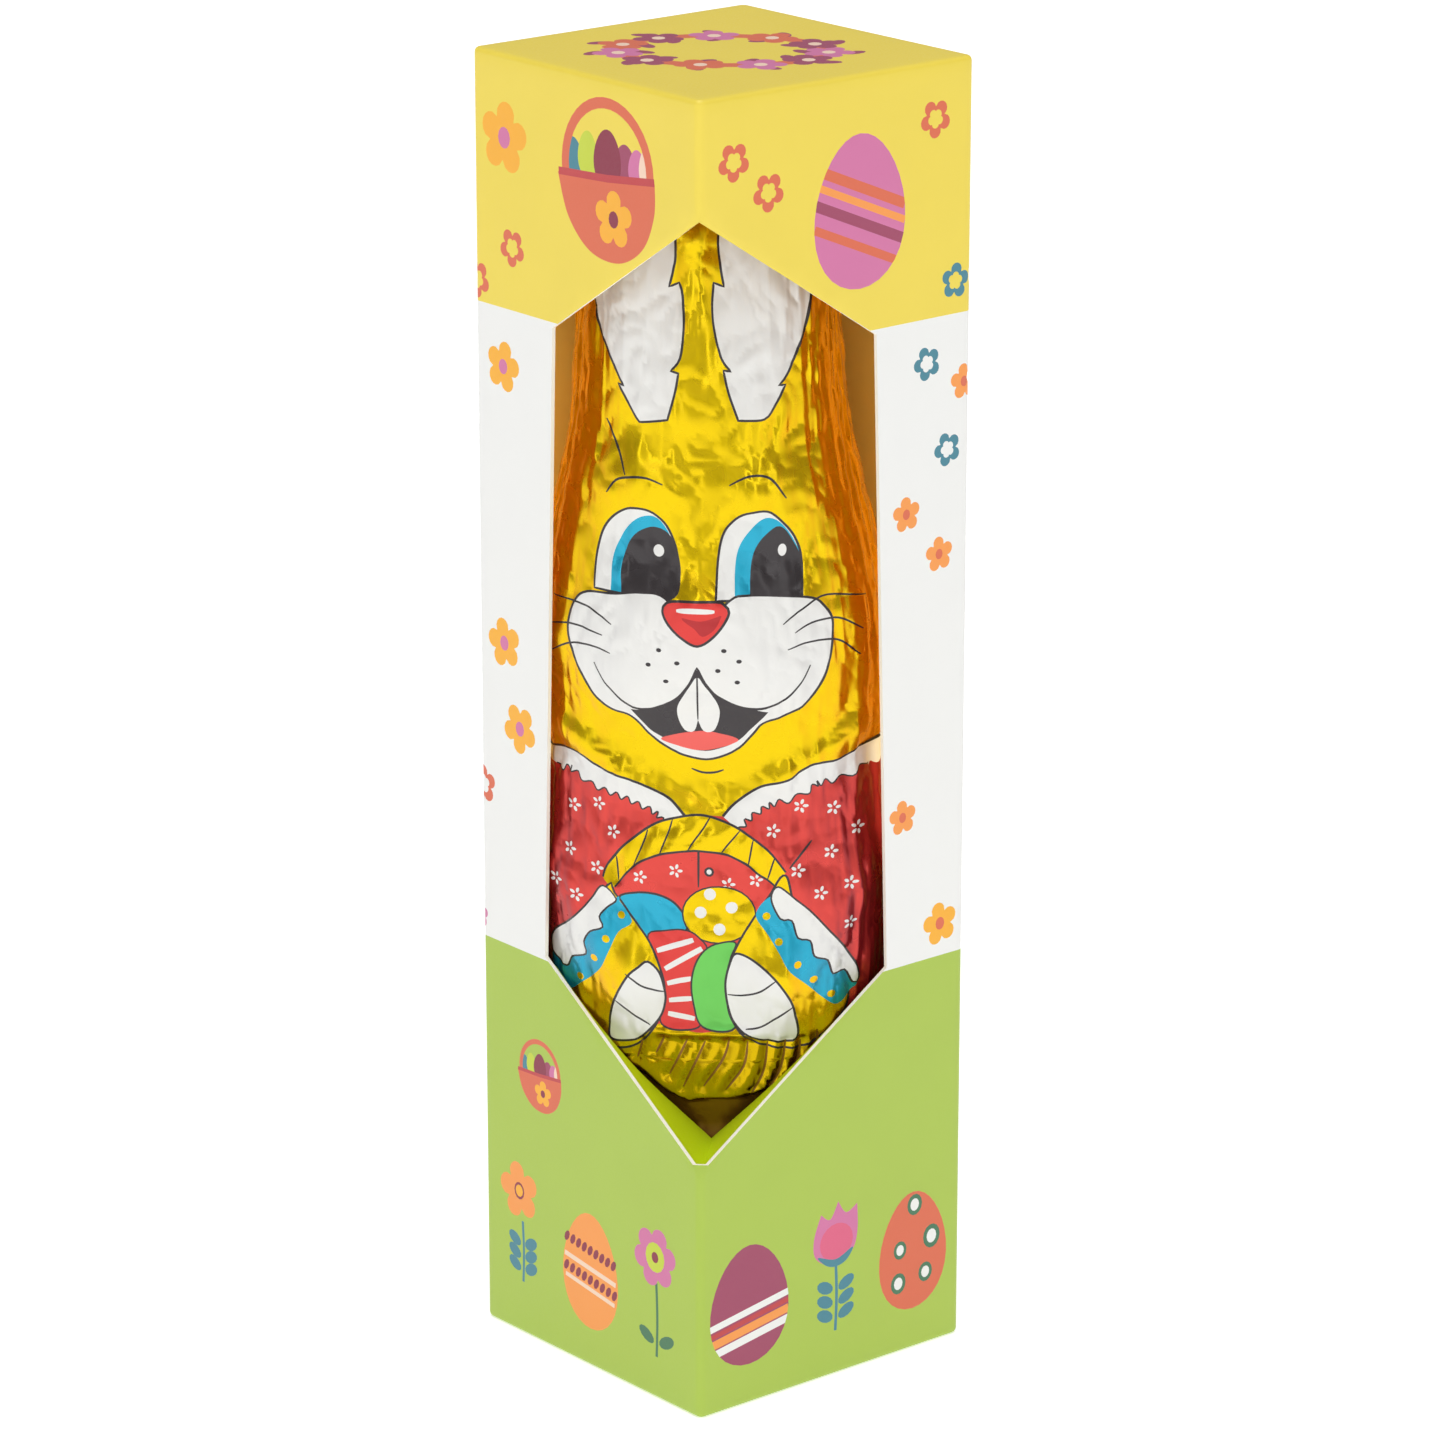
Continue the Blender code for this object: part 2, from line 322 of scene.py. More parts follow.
# Lacquers on the foil: colour, painted shade colour for facets that turn away, metallic share, roughness and
# share of the crinkles.
FOIL_LOOKS = {
    "gold": ((226, 192, 2), (230, 164, 2), 0.92, 0.27),
    "basket": ((204, 170, 2), (198, 146, 2), 1.0, 0.25, 0.4),
    # Brown draws the basket's strand lines, and the painted shade of the hollow under the basket.
    "brown": ((138, 94, 22), (120, 78, 12), 0.5, 0.4, 0.5),
    "red": ((214, 66, 58), (152, 28, 38), 0.55, 0.32),
    "nose": ((218, 52, 46), (206, 42, 38), 0.25, 0.36),
    "nose_shade": ((178, 30, 34), (168, 26, 30), 0.25, 0.36),
    "tongue": ((232, 92, 84), (222, 80, 72), 0.2, 0.38),
    "blue": ((26, 166, 198), (8, 136, 172), 0.45, 0.32),
    "green": ((104, 196, 84), (76, 180, 74), 0.4, 0.34),
    "white": ((230, 229, 225), (216, 215, 214), 0.12, 0.36, 0.7),
    "dark": ((50, 44, 46), (40, 36, 36), 0.2, 0.3, 0.8),
}
BOARD_INKS = {ink: board_ink("carton_" + ink, *look) for ink, look in BOARD_LOOKS.items()}
FOIL_INKS = {ink: foil_ink("foil_" + ink, *look) for ink, look in FOIL_LOOKS.items()}


# Flat outlines

def spline(points, closed=True, step=CURVE_STEP):
    """A smooth curve through the points. A point that is given twice running is a corner."""
    points = [np.array(point, float) for point in points]
    count = len(points)
    last = count if closed else count - 1
    curve = []
    for index in range(last):
        start = points[index]
        end = points[(index + 1) % count]
        length = np.hypot(*(end - start))
        if length == 0.0:
            continue
        before = points[index - 1] if closed or index > 0 else start
        after = points[(index + 2) % count] if closed or index + 2 < count else end
        parts = max(1, math.ceil(length / step))
        for part in range(parts):
            t = part / parts
            bend = 2.0 * before - 5.0 * start + 4.0 * end - after
            twist = 3.0 * start - before - 3.0 * end + after
            curve.append(start + 0.5 * ((end - before) + (bend + twist * t) * t) * t)
    if not closed:
        curve.append(points[-1])
    return np.array(curve)


def stroke(curve, width, closed=False, taper=0.0):
    """The outline of a line of that width along a curve, thinner at its ends by the taper."""
    curve = np.asarray(curve, float)
    if closed:
        run = np.roll(curve, -1, axis=0) - np.roll(curve, 1, axis=0)
    else:
        run = np.gradient(curve, axis=0)
    run = run / np.maximum(np.hypot(run[:, 0], run[:, 1]), 1e-9)[:, None]
    side = np.stack([-run[:, 1], run[:, 0]], axis=1)
    share = np.linspace(-1.0, 1.0, len(curve))
    half = width / 2 * (1.0 - taper * np.abs(share) ** 3)[:, None]
    left = curve + side * half
    right = curve - side * half
    if closed:
        return np.concatenate([right, right[:1], left[:1], left[::-1]])
    return np.concatenate([right, left[::-1]])


def turned(points, angle, center):
    cos = math.cos(angle)
    sin = math.sin(angle)
    points = np.asarray(points, float)
    return points @ np.array([[cos, sin], [-sin, cos]]) + np.array(center)


def oval(center, half_width, half_height, turn=0.0, sides=20):
    t = np.linspace(0.0, 2 * math.pi, sides, endpoint=False)
    return turned(np.stack([half_width * np.cos(t), half_height * np.sin(t)], axis=1), turn, center)


def egg_outline(center, half_width, half_height, turn=0.0, sides=32):
    t = np.linspace(0.0, 2 * math.pi, sides, endpoint=False)
    width = half_width * np.cos(t) * (1.0 - 0.14 * np.sin(t))
    return turned(np.stack([width, half_height * np.sin(t)], axis=1), turn, center)


def flower_outline(center, radius, petals=5, turn=0.0, valley=0.62):
    t = np.linspace(0.0, 2 * math.pi, petals * 8, endpoint=False)
    reach = radius * (valley + (1.0 - valley) * np.abs(np.cos(petals * t / 2)) ** 0.7)
    return turned(np.stack([reach * np.cos(t), reach * np.sin(t)], axis=1), turn, center)


def winding(outline, points):
    """How many times an outline runs round each point."""
    turns = np.zeros(len(points), int)
    x = points[:, 0]
    y = points[:, 1]
    for (x0, y0), (x1, y1) in zip(outline, np.roll(outline, -1, axis=0)):
        if y0 == y1:
            continue
        crossing = (y >= min(y0, y1)) & (y < max(y0, y1))
        at = x0 + (y - y0) * (x1 - x0) / (y1 - y0)
        turns += np.where(crossing & (x < at), 1 if y1 > y0 else -1, 0)
    return turns


def cut_sheet(prints, loose):
    """Cuts a sheet into triangles along all outlines. prints are (ink, outline) in painting order.

    A print may have a second outline that it stays inside. loose are the sheet's other points, its
    edge among them. Returns points, triangles and each triangle's print, where -1 is none.
    """
    points = [tuple(p) for p in loose]
    edges = []
    for _ink, outline, *_within in prints:
        start = len(points)
        count = len(outline)
        points.extend(tuple(p) for p in outline)
        edges.extend((start + i, start + (i + 1) % count) for i in range(count))
    cut = delaunay_2d_cdt([Vector(p) for p in points], edges, [], 0, 1e-4, False)
    flat = np.array([tuple(v) for v in cut[0]])
    triangles = np.array(cut[2])
    middles = flat[triangles].mean(axis=1)
    top = np.full(len(triangles), -1)
    for number, (_ink, *outlines) in enumerate(prints):
        near = np.arange(len(middles))
        for outline in map(np.asarray, outlines):
            spots = middles[near]
            near = near[np.all((spots >= outline.min(axis=0)) & (spots <= outline.max(axis=0)), axis=1)]
            near = near[winding(outline, middles[near]) != 0]
        top[near] = number
    return flat, triangles, top


def welded(points, triangles, inks, reach=0.01):
    """Makes points that lie on one another one, and drops the triangles that this closes up."""
    tree = KDTree(len(points))
    for index, point in enumerate(points):
        tree.insert(point, index)
    tree.balance()
    first = np.array([min(found[1] for found in tree.find_range(point, reach)) for point in points])
    triangles = first[triangles]
    whole = (triangles != np.roll(triangles, 1, axis=1)).all(axis=1)
    return triangles[whole], [ink for ink, keep in zip(inks, whole) if keep]


def open_edges(triangles):
    """The edges that only one triangle has, each in that triangle's direction."""
    directed = {(a, b) for tri in triangles.tolist() for a, b in zip(tri, tri[1:] + tri[:1])}
    return [(a, b) for a, b in sorted(directed) if (b, a) not in directed]


def mesh_object(name, points, faces, face_inks, inks, normals=None):
    """A mesh from points in millimetres, with a material for each ink that is used."""
    kept = sorted({index for face in faces for index in face})
    number = dict(zip(kept, range(len(kept))))
    mesh = bpy.data.meshes.new(name)
    mesh.from_pydata((points[kept] * MM).tolist(), [], [[number[index] for index in face] for face in faces])
    used = sorted(set(face_inks))
    for ink in used:
        mesh.materials.append(inks[ink])
    places = {ink: index for index, ink in enumerate(used)}
    mesh.polygons.foreach_set("material_index", [places[ink] for ink in face_inks])
    mesh.shade_smooth()
    if normals is not None:
        mesh.normals_split_custom_set_from_vertices(normals[kept])
    item = bpy.data.objects.new(name, mesh)
    bpy.context.scene.collection.objects.link(item)
    return item


# Noise for the foil's creases

def lattice_noise(points, seed):
    """Smooth noise from about -1 to 1 of points in space, with one cell to a unit."""
    draw = np.random.default_rng(seed)
    table = draw.permutation(256)
    slopes = draw.normal(size=(256, 3))
    slopes /= np.linalg.norm(slopes, axis=1)[:, None]
    cell = np.floor(points).astype(int)
    inner = points - cell
    fade = inner**3 * (inner * (inner * 6.0 - 15.0) + 10.0)
    total = np.zeros(len(points))
    for corner in np.ndindex(2, 2, 2):
        spot = cell + corner
        code = table[(table[(table[spot[:, 0] % 256] + spot[:, 1]) % 256] + spot[:, 2]) % 256]
        value = np.sum(slopes[code] * (inner - corner), axis=1)
        weight = np.prod(np.where(corner, fade, 1.0 - fade), axis=1)
        total += weight * value
    return total * 1.6


# Carton

def carton_outline(u):
    """Where the carton's side is at a length u round it from the front edge, and which way it faces."""
    wall = np.clip(np.floor(u / CARTON_SIDE), -2, 1)
    run = u - wall * CARTON_SIDE
    straight = np.clip(run, FOLD_RADIUS, CARTON_SIDE - FOLD_RADIUS)
    facing = math.pi / 2 * wall - math.pi / 4
    turn = (run - straight) / FOLD_RADIUS * math.pi / 4
    corner = math.pi / 2 * (wall - 1)
    x = -FRONT_EDGE_Y * np.cos(corner) - straight * np.sin(facing)
    y = -FRONT_EDGE_Y * np.sin(corner) + straight * np.cos(facing)
    x = x - FOLD_RADIUS * np.cos(facing) + FOLD_RADIUS * np.cos(facing + turn)
    y = y - FOLD_RADIUS * np.sin(facing) + FOLD_RADIUS * np.sin(facing + turn)
    return np.stack([x, y], axis=-1), np.stack([np.cos(facing + turn), np.sin(facing + turn)], axis=-1)


def carton_wall(flat, depth):
    """Bends the carton's sheet round its folds. depth is how far below the print the point lies."""
    u = flat[:, 0]
    v = flat[:, 1]
    side, facing = carton_outline(u)
    straight = np.clip(v, RIM_RADIUS, CARTON_HEIGHT - RIM_RADIUS)
    tilt = (v - straight) / RIM_RADIUS * math.pi / 2
    run = np.mod(u, CARTON_SIDE) / CARTON_SIDE
    bow = WALL_BOW * np.sin(math.pi * run) ** 2 * np.sin(math.pi * v / CARTON_HEIGHT)
    inset = RIM_RADIUS * (1.0 - np.cos(tilt)) + depth * np.cos(tilt) - bow
    level = side - facing * inset[:, None]
    height = straight + RIM_RADIUS * np.sin(tilt) - depth * np.sin(tilt)
    return np.column_stack([level, height])


def carton_end(flat, height):
    return np.column_stack([flat, np.full(len(flat), height)])


def bloom(prints, center, radius, petal, heart, turn=0.3, hollow=None):
    """A five-petalled flower: its petals, then either a coloured heart or the sheet's colour inside."""
    prints.append((petal, flower_outline(center, radius, turn=turn)))
    if hollow:
        prints.append((hollow, flower_outline(center, radius * 0.5, turn=turn, valley=0.75)))
        return
    prints.append((heart, oval(center, radius * 0.26, radius * 0.3, sides=12)))


def leaf_pairs(prints, foot, height, ink, pairs=3, length=3.4):
    """An upright stem with pairs of leaves on its lower part."""
    x, z = foot
    stem = np.array([(x, z), (x + 0.2, z + height / 2), (x, z + height)])
    prints.append((ink, stroke(spline(stem, False), 0.55)))
    for level in range(pairs):
        for side in (-1, 1):
            center = (x + side * length * 0.62, z + height * (0.2 + 0.62 * level / pairs) + 0.6)
            prints.append((ink, oval(center, length / 2, 1.0, side * 0.45, 12)))


# Outlines about the foot of a tulip's cup, and about the middle of a basket.
TULIP_CUP = (
    (-3.9, 0.4), (-4.4, 3.6), (-3.0, 7.4), (-3.0, 7.4), (-1.2, 6.2), (0.4, 8.8), (0.4, 8.8), (2.0, 6.6),
    (4.2, 7.6), (4.2, 7.6), (4.3, 3.2), (3.3, 0.2), (0.0, -1.6),
)
TULIP_SEPALS = ((-3.6, 0.6), (-1.8, -1.2), (0.2, -1.7), (2.2, -1.1), (3.4, 0.7), (0.0, -0.5))
ORNAMENT_BASKET = (
    (-13.2, 0.2), (-13.2, 0.2), (12.4, 2.2), (12.4, 2.2), (12.2, -3.4), (9.2, -9.4), (3.0, -12.8),
    (-4.6, -12.0), (-10.4, -7.0),
)
ORNAMENT_BRIM = ((-13.0, 0.4), (0.0, 1.1), (12.3, 2.4))
# Ink, middle, half width and half height.
ORNAMENT_EGGS = (
    ("teal", -9.2, 2.6, 2.9, 4.2), ("lime", -5.2, 4.4, 2.6, 4.0), ("purple", 4.6, 4.0, 2.8, 3.6),
    ("pink", 7.8, 4.0, 2.3, 3.2), ("cream", 10.0, 4.4, 1.7, 3.2), ("wine", 0.0, 4.4, 3.6, 5.0),
)


def tulip(prints, foot, height):
    x, z = foot
    leaf_pairs(prints, foot, height * 0.62, "teal")
    base = (x, z + height * 0.62 + 1.0)
    prints.append(("pink", spline(turned(TULIP_CUP, 0.0, base))))
    prints.append(("rose", oval((base[0] + 0.1, base[1] + 2.3), 3.3, 3.0)))
    prints.append(("teal", spline(turned(TULIP_SEPALS, 0.0, base))))


def egg_basket(prints, center, size):
    """A round-bottomed basket with an arched handle, a flower on it and coloured eggs in it."""
    x, z = center

    def spot(across, up):
        return (x + across * size, z + up * size)

    arch = [spot(11.2 * math.sin(t), 2.4 + 11.4 * math.cos(t)) for t in np.linspace(-1.7, 1.7, 22)]
    for ink, across, up, half_width, half_height in ORNAMENT_EGGS:
        prints.append((ink, egg_outline(spot(across, up), half_width * size, half_height * size)))
    prints.append(("coral", stroke(arch, 1.9 * size)))
    prints.append(("coral", spline([spot(*p) for p in ORNAMENT_BASKET])))
    prints.append(("red", stroke([spot(*p) for p in ORNAMENT_BRIM], 1.3 * size)))
    bloom(prints, spot(1.6, -5.6), 4.9 * size, "amber", "wine")


def striped_egg(prints, center, half_width, half_height, tilt, body, stripes):
    """An egg with slanting stripes. stripes are (ink, height above its middle, width)."""
    outline = egg_outline(center, half_width, half_height)
    prints.append((body, outline))
    for ink, level, width in stripes:
        ends = [(-half_width, level - half_width * tilt), (half_width, level + half_width * tilt)]
        prints.append((ink, stroke(turned(ends, 0.0, center), width), outline))


def dotted_egg(prints, center, half_width, half_height, body, dots):
    prints.append((body, egg_outline(center, half_width, half_height)))
    for across, up, radius in dots:
        spot = (center[0] + across, center[1] + up)
        prints.append(("leaf", oval(spot, radius, radius * 1.15, sides=14)))
        prints.append(("white", oval(spot, radius * 0.58, radius * 0.68, sides=12)))


def wavy_band(prints, center, half_width, level, tilt, ink, width):
    """A row of small slanting dashes across an egg."""
    for index in range(9):
        across = (index / 4.0 - 1.0) * half_width
        spot = (center[0] + across, center[1] + level + across * tilt)
        prints.append((ink, oval(spot, width * 0.42, width * 0.75, -0.5, 8)))


WREATH_REACH = (15.5, 11.0)
WREATH_FLOWERS = 11
PURPLE_STRIPES = (("white", -1.0, 1.1), ("red", -2.3, 0.8), ("orange", -3.7, 1.4), ("white", -5.3, 1.3))
EGG_DOTS = ((0.3, 7.4, 1.5), (3.8, 1.4, 1.7), (-2.6, 0.6, 1.3), (2.6, -4.2, 1.4), (-2.9, -4.8, 1.5))


def front_walls(prints):
    """What is printed on the two walls at the front. Lengths to the left of the front edge are negative."""
    bloom(prints, (-44.4, 187.6), 5.4, "amber", "pink", 0.2)
    egg_basket(prints, (-20.4, 184.6), 0.86)
    for spot in ((-42.7, 171.5), (-51.2, 165.4), (6.4, 190.4), (12.8, 185.2), (44.4, 191.6)):
        bloom(prints, spot, 2.9, "coral", "coral", 0.9, hollow="yellow")
    bloom(prints, (48.6, 167.0), 2.7, "teal", "teal", 0.2, hollow="yellow")
    striped_egg(prints, (30.0, 180.0), 8.6, 11.4, -0.42, "pink",
                (("coral", 3.6, 1.6), ("orange", 1.2, 1.1), ("purple", -1.6, 1.6), ("coral", -5.2, 1.3)))
    for spot, turn in (((-45.2, 153.2), 0.1), ((-45.6, 110.6), 0.5), ((-42.0, 98.0), 0.9)):
        bloom(prints, spot, 3.9, "amber", "pink", turn)
    bloom(prints, (-51.2, 87.2), 3.0, "coral", "coral", 0.4, hollow="white")
    for spot in ((43.2, 155.4), (47.4, 141.8)):
        bloom(prints, spot, 2.6, "teal", "teal", 0.7, hollow="white")
    for spot in ((50.6, 151.6), (39.4, 133.2), (46.0, 126.0), (39.2, 86.4)):
        bloom(prints, spot, 2.7, "orange", "coral", 0.4)
    bloom(prints, (47.0, 68.0), 3.4, "amber", "coral", 0.5)
    bloom(prints, (-52.4, 66.0), 2.0, "pink", "rose", 0.4)
    egg_basket(prints, (-37.9, 43.4), 0.42)
    bloom(prints, (-43.4, 23.4), 4.7, "orange", "wine", 0.5)
    prints.append(("amber", oval((-43.4, 23.4), 0.9, 1.0, sides=10)))
    leaf_pairs(prints, (-42.6, 8.6), 10.0, "teal", 3, 3.2)
    egg = (-26.0, 15.6)
    prints.append(("orange", egg_outline(egg, 6.6, 9.4)))
    prints.append(("cream", stroke([(-32.2, 16.9), (-19.9, 15.2)], 0.8)))
    prints.append(("cream", stroke([(-32.0, 13.5), (-20.2, 11.8)], 0.7)))
    wavy_band(prints, egg, 5.6, 3.4, -0.14, "wine", 1.3)
    wavy_band(prints, egg, 5.8, -1.4, -0.14, "wine", 1.3)
    leaf_pairs(prints, (-10.2, 6.8), 12.0, "leaf", 1, 3.8)
    prints.append(("pink", flower_outline((-10.5, 22.8), 4.9, 6, 0.2, 0.72)))
    prints.append(("lime", oval((-10.5, 22.8), 2.2, 2.4, sides=14)))
    prints.append(("wine", oval((-10.5, 22.8), 0.8, 0.9, sides=10)))
    striped_egg(prints, (9.6, 16.0), 7.6, 9.6, 0.16, "purple", PURPLE_STRIPES)
    tulip(prints, (26.6, 7.2), 18.0)
    dotted_egg(prints, (42.2, 16.2), 6.8, 9.6, "coral", EGG_DOTS)


def back_walls(prints):
    """The walls at the back carry the same ornaments in an order of their own."""
    for side in (-1, 1):
        middle = side * 1.5 * CARTON_SIDE
        for across, height, petal in ((-17, 190, "coral"), (-12, 169, "coral"), (17, 171, "teal")):
            bloom(prints, (middle + across, height), 2.9, petal, petal, 0.5, hollow="yellow")
        bloom(prints, (middle + 17.0, 189.0), 5.0, "amber", "pink", 0.4)
        egg_basket(prints, (middle - 1.0, 184.0), 0.8)
        for row in range(6):
            across = (-15.0, 9.0, -4.0, 17.0, -18.0, 3.0)[row]
            height = 150.0 - 15.0 * row
            petal = ("amber", "teal", "coral", "orange", "amber", "pink")[row]
            if petal in ("teal", "coral"):
                bloom(prints, (middle + side * across, height), 2.7, petal, petal, 0.3 * row, hollow="white")
            else:
                bloom(prints, (middle + side * across, height), 3.4, petal, "rose", 0.3 * row)
        egg_basket(prints, (middle + side * 12.0, 44.0), 0.42)
        dotted_egg(prints, (middle - side * 14.0, 43.0), 5.6, 7.8, "coral", EGG_DOTS)
        striped_egg(prints, (middle - side * 17.0, 16.0), 7.0, 9.2, 0.16 * side, "purple", PURPLE_STRIPES)
        tulip(prints, (middle - side * 1.0, 7.2), 18.0)
        bloom(prints, (middle + side * 15.0, 23.0), 4.7, "orange", "wine", 0.5)
        leaf_pairs(prints, (middle + side * 15.0, 7.4), 11.0, "teal", 3, 3.2)


def lid_print(prints):
    """A wreath of flowers and leaves on the lid, in the colours of the walls."""
    prints.append(("coral", stroke(oval((0.0, 0.0), *WREATH_REACH, sides=40), 2.8, closed=True)))
    for index in range(WREATH_FLOWERS):
        t = 2 * math.pi * index / WREATH_FLOWERS
        spot = np.array(WREATH_REACH) * (math.cos(t), math.sin(t))
        for side in (-1, 1):
            prints.append(("purple", oval((1.0 + side * 0.24) * spot, 1.9, 1.1, t + side * 0.7, 12)))
        bloom(prints, spot, 3.9, ("pink", "purple", "coral")[index % 3], "cream", t)


def window_outline():
    """The window round the front edge, with a short blunt end at its tip."""
    rise = (WINDOW_LOW_SHOULDER[1] - WINDOW_TIP[1]) / WINDOW_LOW_SHOULDER[0]
    half = [
        (BLUNT_TIP, WINDOW_TIP[1] + BLUNT_TIP * rise),
        WINDOW_LOW_SHOULDER,
        WINDOW_HIGH_SHOULDER,
        WINDOW_APEX,
    ]
    return half + [(-x, z) for x, z in half[-2::-1]]


def grid_values(low, high, step, extra=()):
    values = list(np.linspace(low, high, round((high - low) / step) + 1))
    return sorted(set(np.round(values + list(extra), 6)))


def fold_places():
    """The lengths round the carton at which its folds bend."""
    shares = (-1.0, -0.75, -0.5, -0.25, 0.0, 0.25, 0.5, 0.75, 1.0)
    places = [corner * CARTON_SIDE + share * FOLD_RADIUS for corner in range(-2, 3) for share in shares]
    return [place for place in places if abs(place) <= HALF_ROUND]


def band(low, high, left=-HALF_ROUND, right=HALF_ROUND):
    return [(left, low), (right, low), (right, high), (left, high)]


def carton_sheets():
    """The carton's walls, lid and base: (points outside, points inside, triangles, inks) of each.

    The ends' ground stays a hair inside its rim, so that no sliver between two points of the rim has ink.
    """
    columns = grid_values(-HALF_ROUND, HALF_ROUND, BOARD_STEP, fold_places())
    bends = [RIM_RADIUS * share for share in (0.25, 0.5, 0.75, 1.0)]
    rows = grid_values(0.0, CARTON_HEIGHT, BOARD_STEP, bends + [CARTON_HEIGHT - bend for bend in bends])
    rows = sorted(rows + [GREEN_TOP, WHITE_TOP])
    prints = [
        ("green", band(0.0, GREEN_TOP)),
        ("white", band(GREEN_TOP, WHITE_TOP)),
        ("yellow", band(WHITE_TOP, CARTON_HEIGHT)),
    ]
    front_walls(prints)
    back_walls(prints)
    prints.append(("cut_edge", band(RIM_RADIUS, CARTON_HEIGHT - RIM_RADIUS, HALF_ROUND - SEAM_WIDTH)))
    prints.append((None, window_outline()))
    flat, triangles, top = cut_sheet(prints, [(u, v) for u in columns for v in rows])
    inks = [prints[number][0] for number in top]
    kept = [index for index, ink in enumerate(inks) if ink]
    sheets = [(carton_wall(flat, 0.0), carton_wall(flat, BOARD), triangles[kept], [inks[i] for i in kept])]
    edge, facing = carton_outline(np.array(columns[:-1]))
    rim = edge - facing * RIM_RADIUS
    within = edge - facing * (RIM_RADIUS + HAIR)
    steps = grid_values(-LID_REACH, LID_REACH, BOARD_STEP)
    inner = [(x, y) for x in steps for y in steps if abs(x) + abs(y) < -FRONT_EDGE_Y - LID_MARGIN]
    for height, turn, ground in ((CARTON_HEIGHT, 1, "yellow"), (0.0, -1, "green")):
        prints = [(ground, rim, within)]
        if turn > 0:
            lid_print(prints)
        flat, triangles, top = cut_sheet(prints, inner)
        kept = top >= 0
        inks = [prints[number][0] for number in top[kept]]
        inside = carton_end(flat, height - turn * BOARD)
        sheets.append((carton_end(flat, height), inside, triangles[kept][:, ::turn], inks))
    return sheets


def board_solid(sheets):
    """Joins the sheets into one closed board, with an inner face and a cut edge along every opening."""
    outer = np.concatenate([sheet[0] for sheet in sheets])
    inner = np.concatenate([sheet[1] for sheet in sheets])
    starts = np.cumsum([0] + [len(sheet[0]) for sheet in sheets[:-1]])
    triangles = np.concatenate([sheet[2] + start for sheet, start in zip(sheets, starts)])
    inks = [ink for sheet in sheets for ink in sheet[3]]
    triangles, inks = welded(outer, triangles, inks)
    count = len(outer)
    rims = [(b, a, a + count, b + count) for a, b in open_edges(triangles)]
    faces = triangles.tolist() + (triangles[:, ::-1] + count).tolist() + rims
    # Inner faces take the inside ink, whose yellow tint is painted warm bounce light.
    face_inks = inks + ["inside"] * len(triangles) + ["cut_edge"] * len(rims)
    return np.concatenate([outer, inner]), faces, face_inks


def make_carton():
    points, faces, inks = board_solid(carton_sheets())
    flap_points, flap_faces, flap_inks = corner_flap()
    start = len(points)
    points = np.concatenate([points, flap_points])
    faces += [tuple(index + start for index in face) for face in flap_faces]
    inks += flap_inks
    carton = mesh_object("windowed_carton", points, faces, inks, BOARD_INKS)
    carton.data.set_sharp_from_angle(angle=math.radians(40))
    return carton


def wall_point(along, height, side, depth=0.0):
    reach = along / math.sqrt(2)
    return np.array((side * reach, FRONT_EDGE_Y + reach + depth * math.sqrt(2), height))


def corner_flap():
    """The corner of board below the window, pushed in along the window's two lower edges."""
    sides = (1, -1)
    tip = wall_point(*WINDOW_TIP, 1, BOARD)
    shoulders = [wall_point(*WINDOW_LOW_SHOULDER, side, BOARD) for side in sides]
    across = np.cross(shoulders[0] - tip, shoulders[1] - tip)
    across /= np.linalg.norm(across)
    fold = np.array((0.0, 0.0, 1.0)) - 2.0 * across[2] * across
    facings = [np.cross(shoulder - tip, fold) * side for shoulder, side in zip(shoulders, sides)]
    facings = [facing / np.linalg.norm(facing) for facing in facings]
    shared = (facings[0] + facings[1]) / (1.0 + np.dot(*facings))
    share = np.linspace(0.0, 1.0, FLAP_COLUMNS)[:, None]
    corner = np.arange((FLAP_COLUMNS - 1) * FLAP_ROWS).reshape(-1, FLAP_ROWS)[:, :-1].reshape(-1)
    quads = np.column_stack([corner, corner + FLAP_ROWS, corner + FLAP_ROWS + 1, corner + 1])
    triangles = np.concatenate([quads[:, [2, 1, 0]], quads[:, [3, 2, 0]]])
    sheets = []
    for shoulder, side, facing in zip(shoulders, sides, facings):
        crease = tip + share * (shoulder - tip)
        reach = np.minimum(FLAP_LENGTH * (1.0 - share[:, 0]), free_length(crease, fold))
        reach = np.maximum(reach, 0.02)[:, None, None]
        upper = crease[:, None, :] + np.linspace(0.0, 1.0, FLAP_ROWS)[None, :, None] * reach * fold
        down = np.concatenate([[shared], np.repeat([facing], FLAP_COLUMNS - 1, axis=0)])[:, None, :]
        upper = upper - down * FLAP_SINK
        lower = upper - down * BOARD
        # Painted light: the pushed-in corner's green is a brightened copy of the walls' green.
        inks = ["flap"] * len(triangles)
        sheets.append((upper.reshape(-1, 3), lower.reshape(-1, 3), triangles[:, ::side], inks))
    return board_solid(sheets)


def free_length(starts, direction, step=0.1):
    """How far each start can go in a direction before it comes too close to the bunny."""
    lengths = np.arange(0.0, FLAP_LENGTH + step, step)
    points = starts[:, None, :] + lengths[None, :, None] * direction
    flat = points.reshape(-1, 3)
    height = np.clip(flat[:, 2] - BUNNY_BASE, 0.0, BUNNY_HEIGHT)
    angle = skin_angle(flat[:, 0], height)
    front = bunny_surface(angle, height, FLAP_CLEARANCE)
    hit = (flat[:, 1] > front[:, 1]) & (np.abs(angle) < 1.5)
    hit |= flat[:, 2] < BOARD + 0.3
    hit = hit.reshape(points.shape[:2])
    first = np.where(hit.any(axis=1), hit.argmax(axis=1), len(lengths) - 1)
    return lengths[first]


# Bunny

def smooth_step(low, high, value):
    """Rises smoothly from 0 at low to 1 at high."""
    share = np.clip((value - low) / (high - low), 0.0, 1.0)
    return share * share * (3.0 - 2.0 * share)


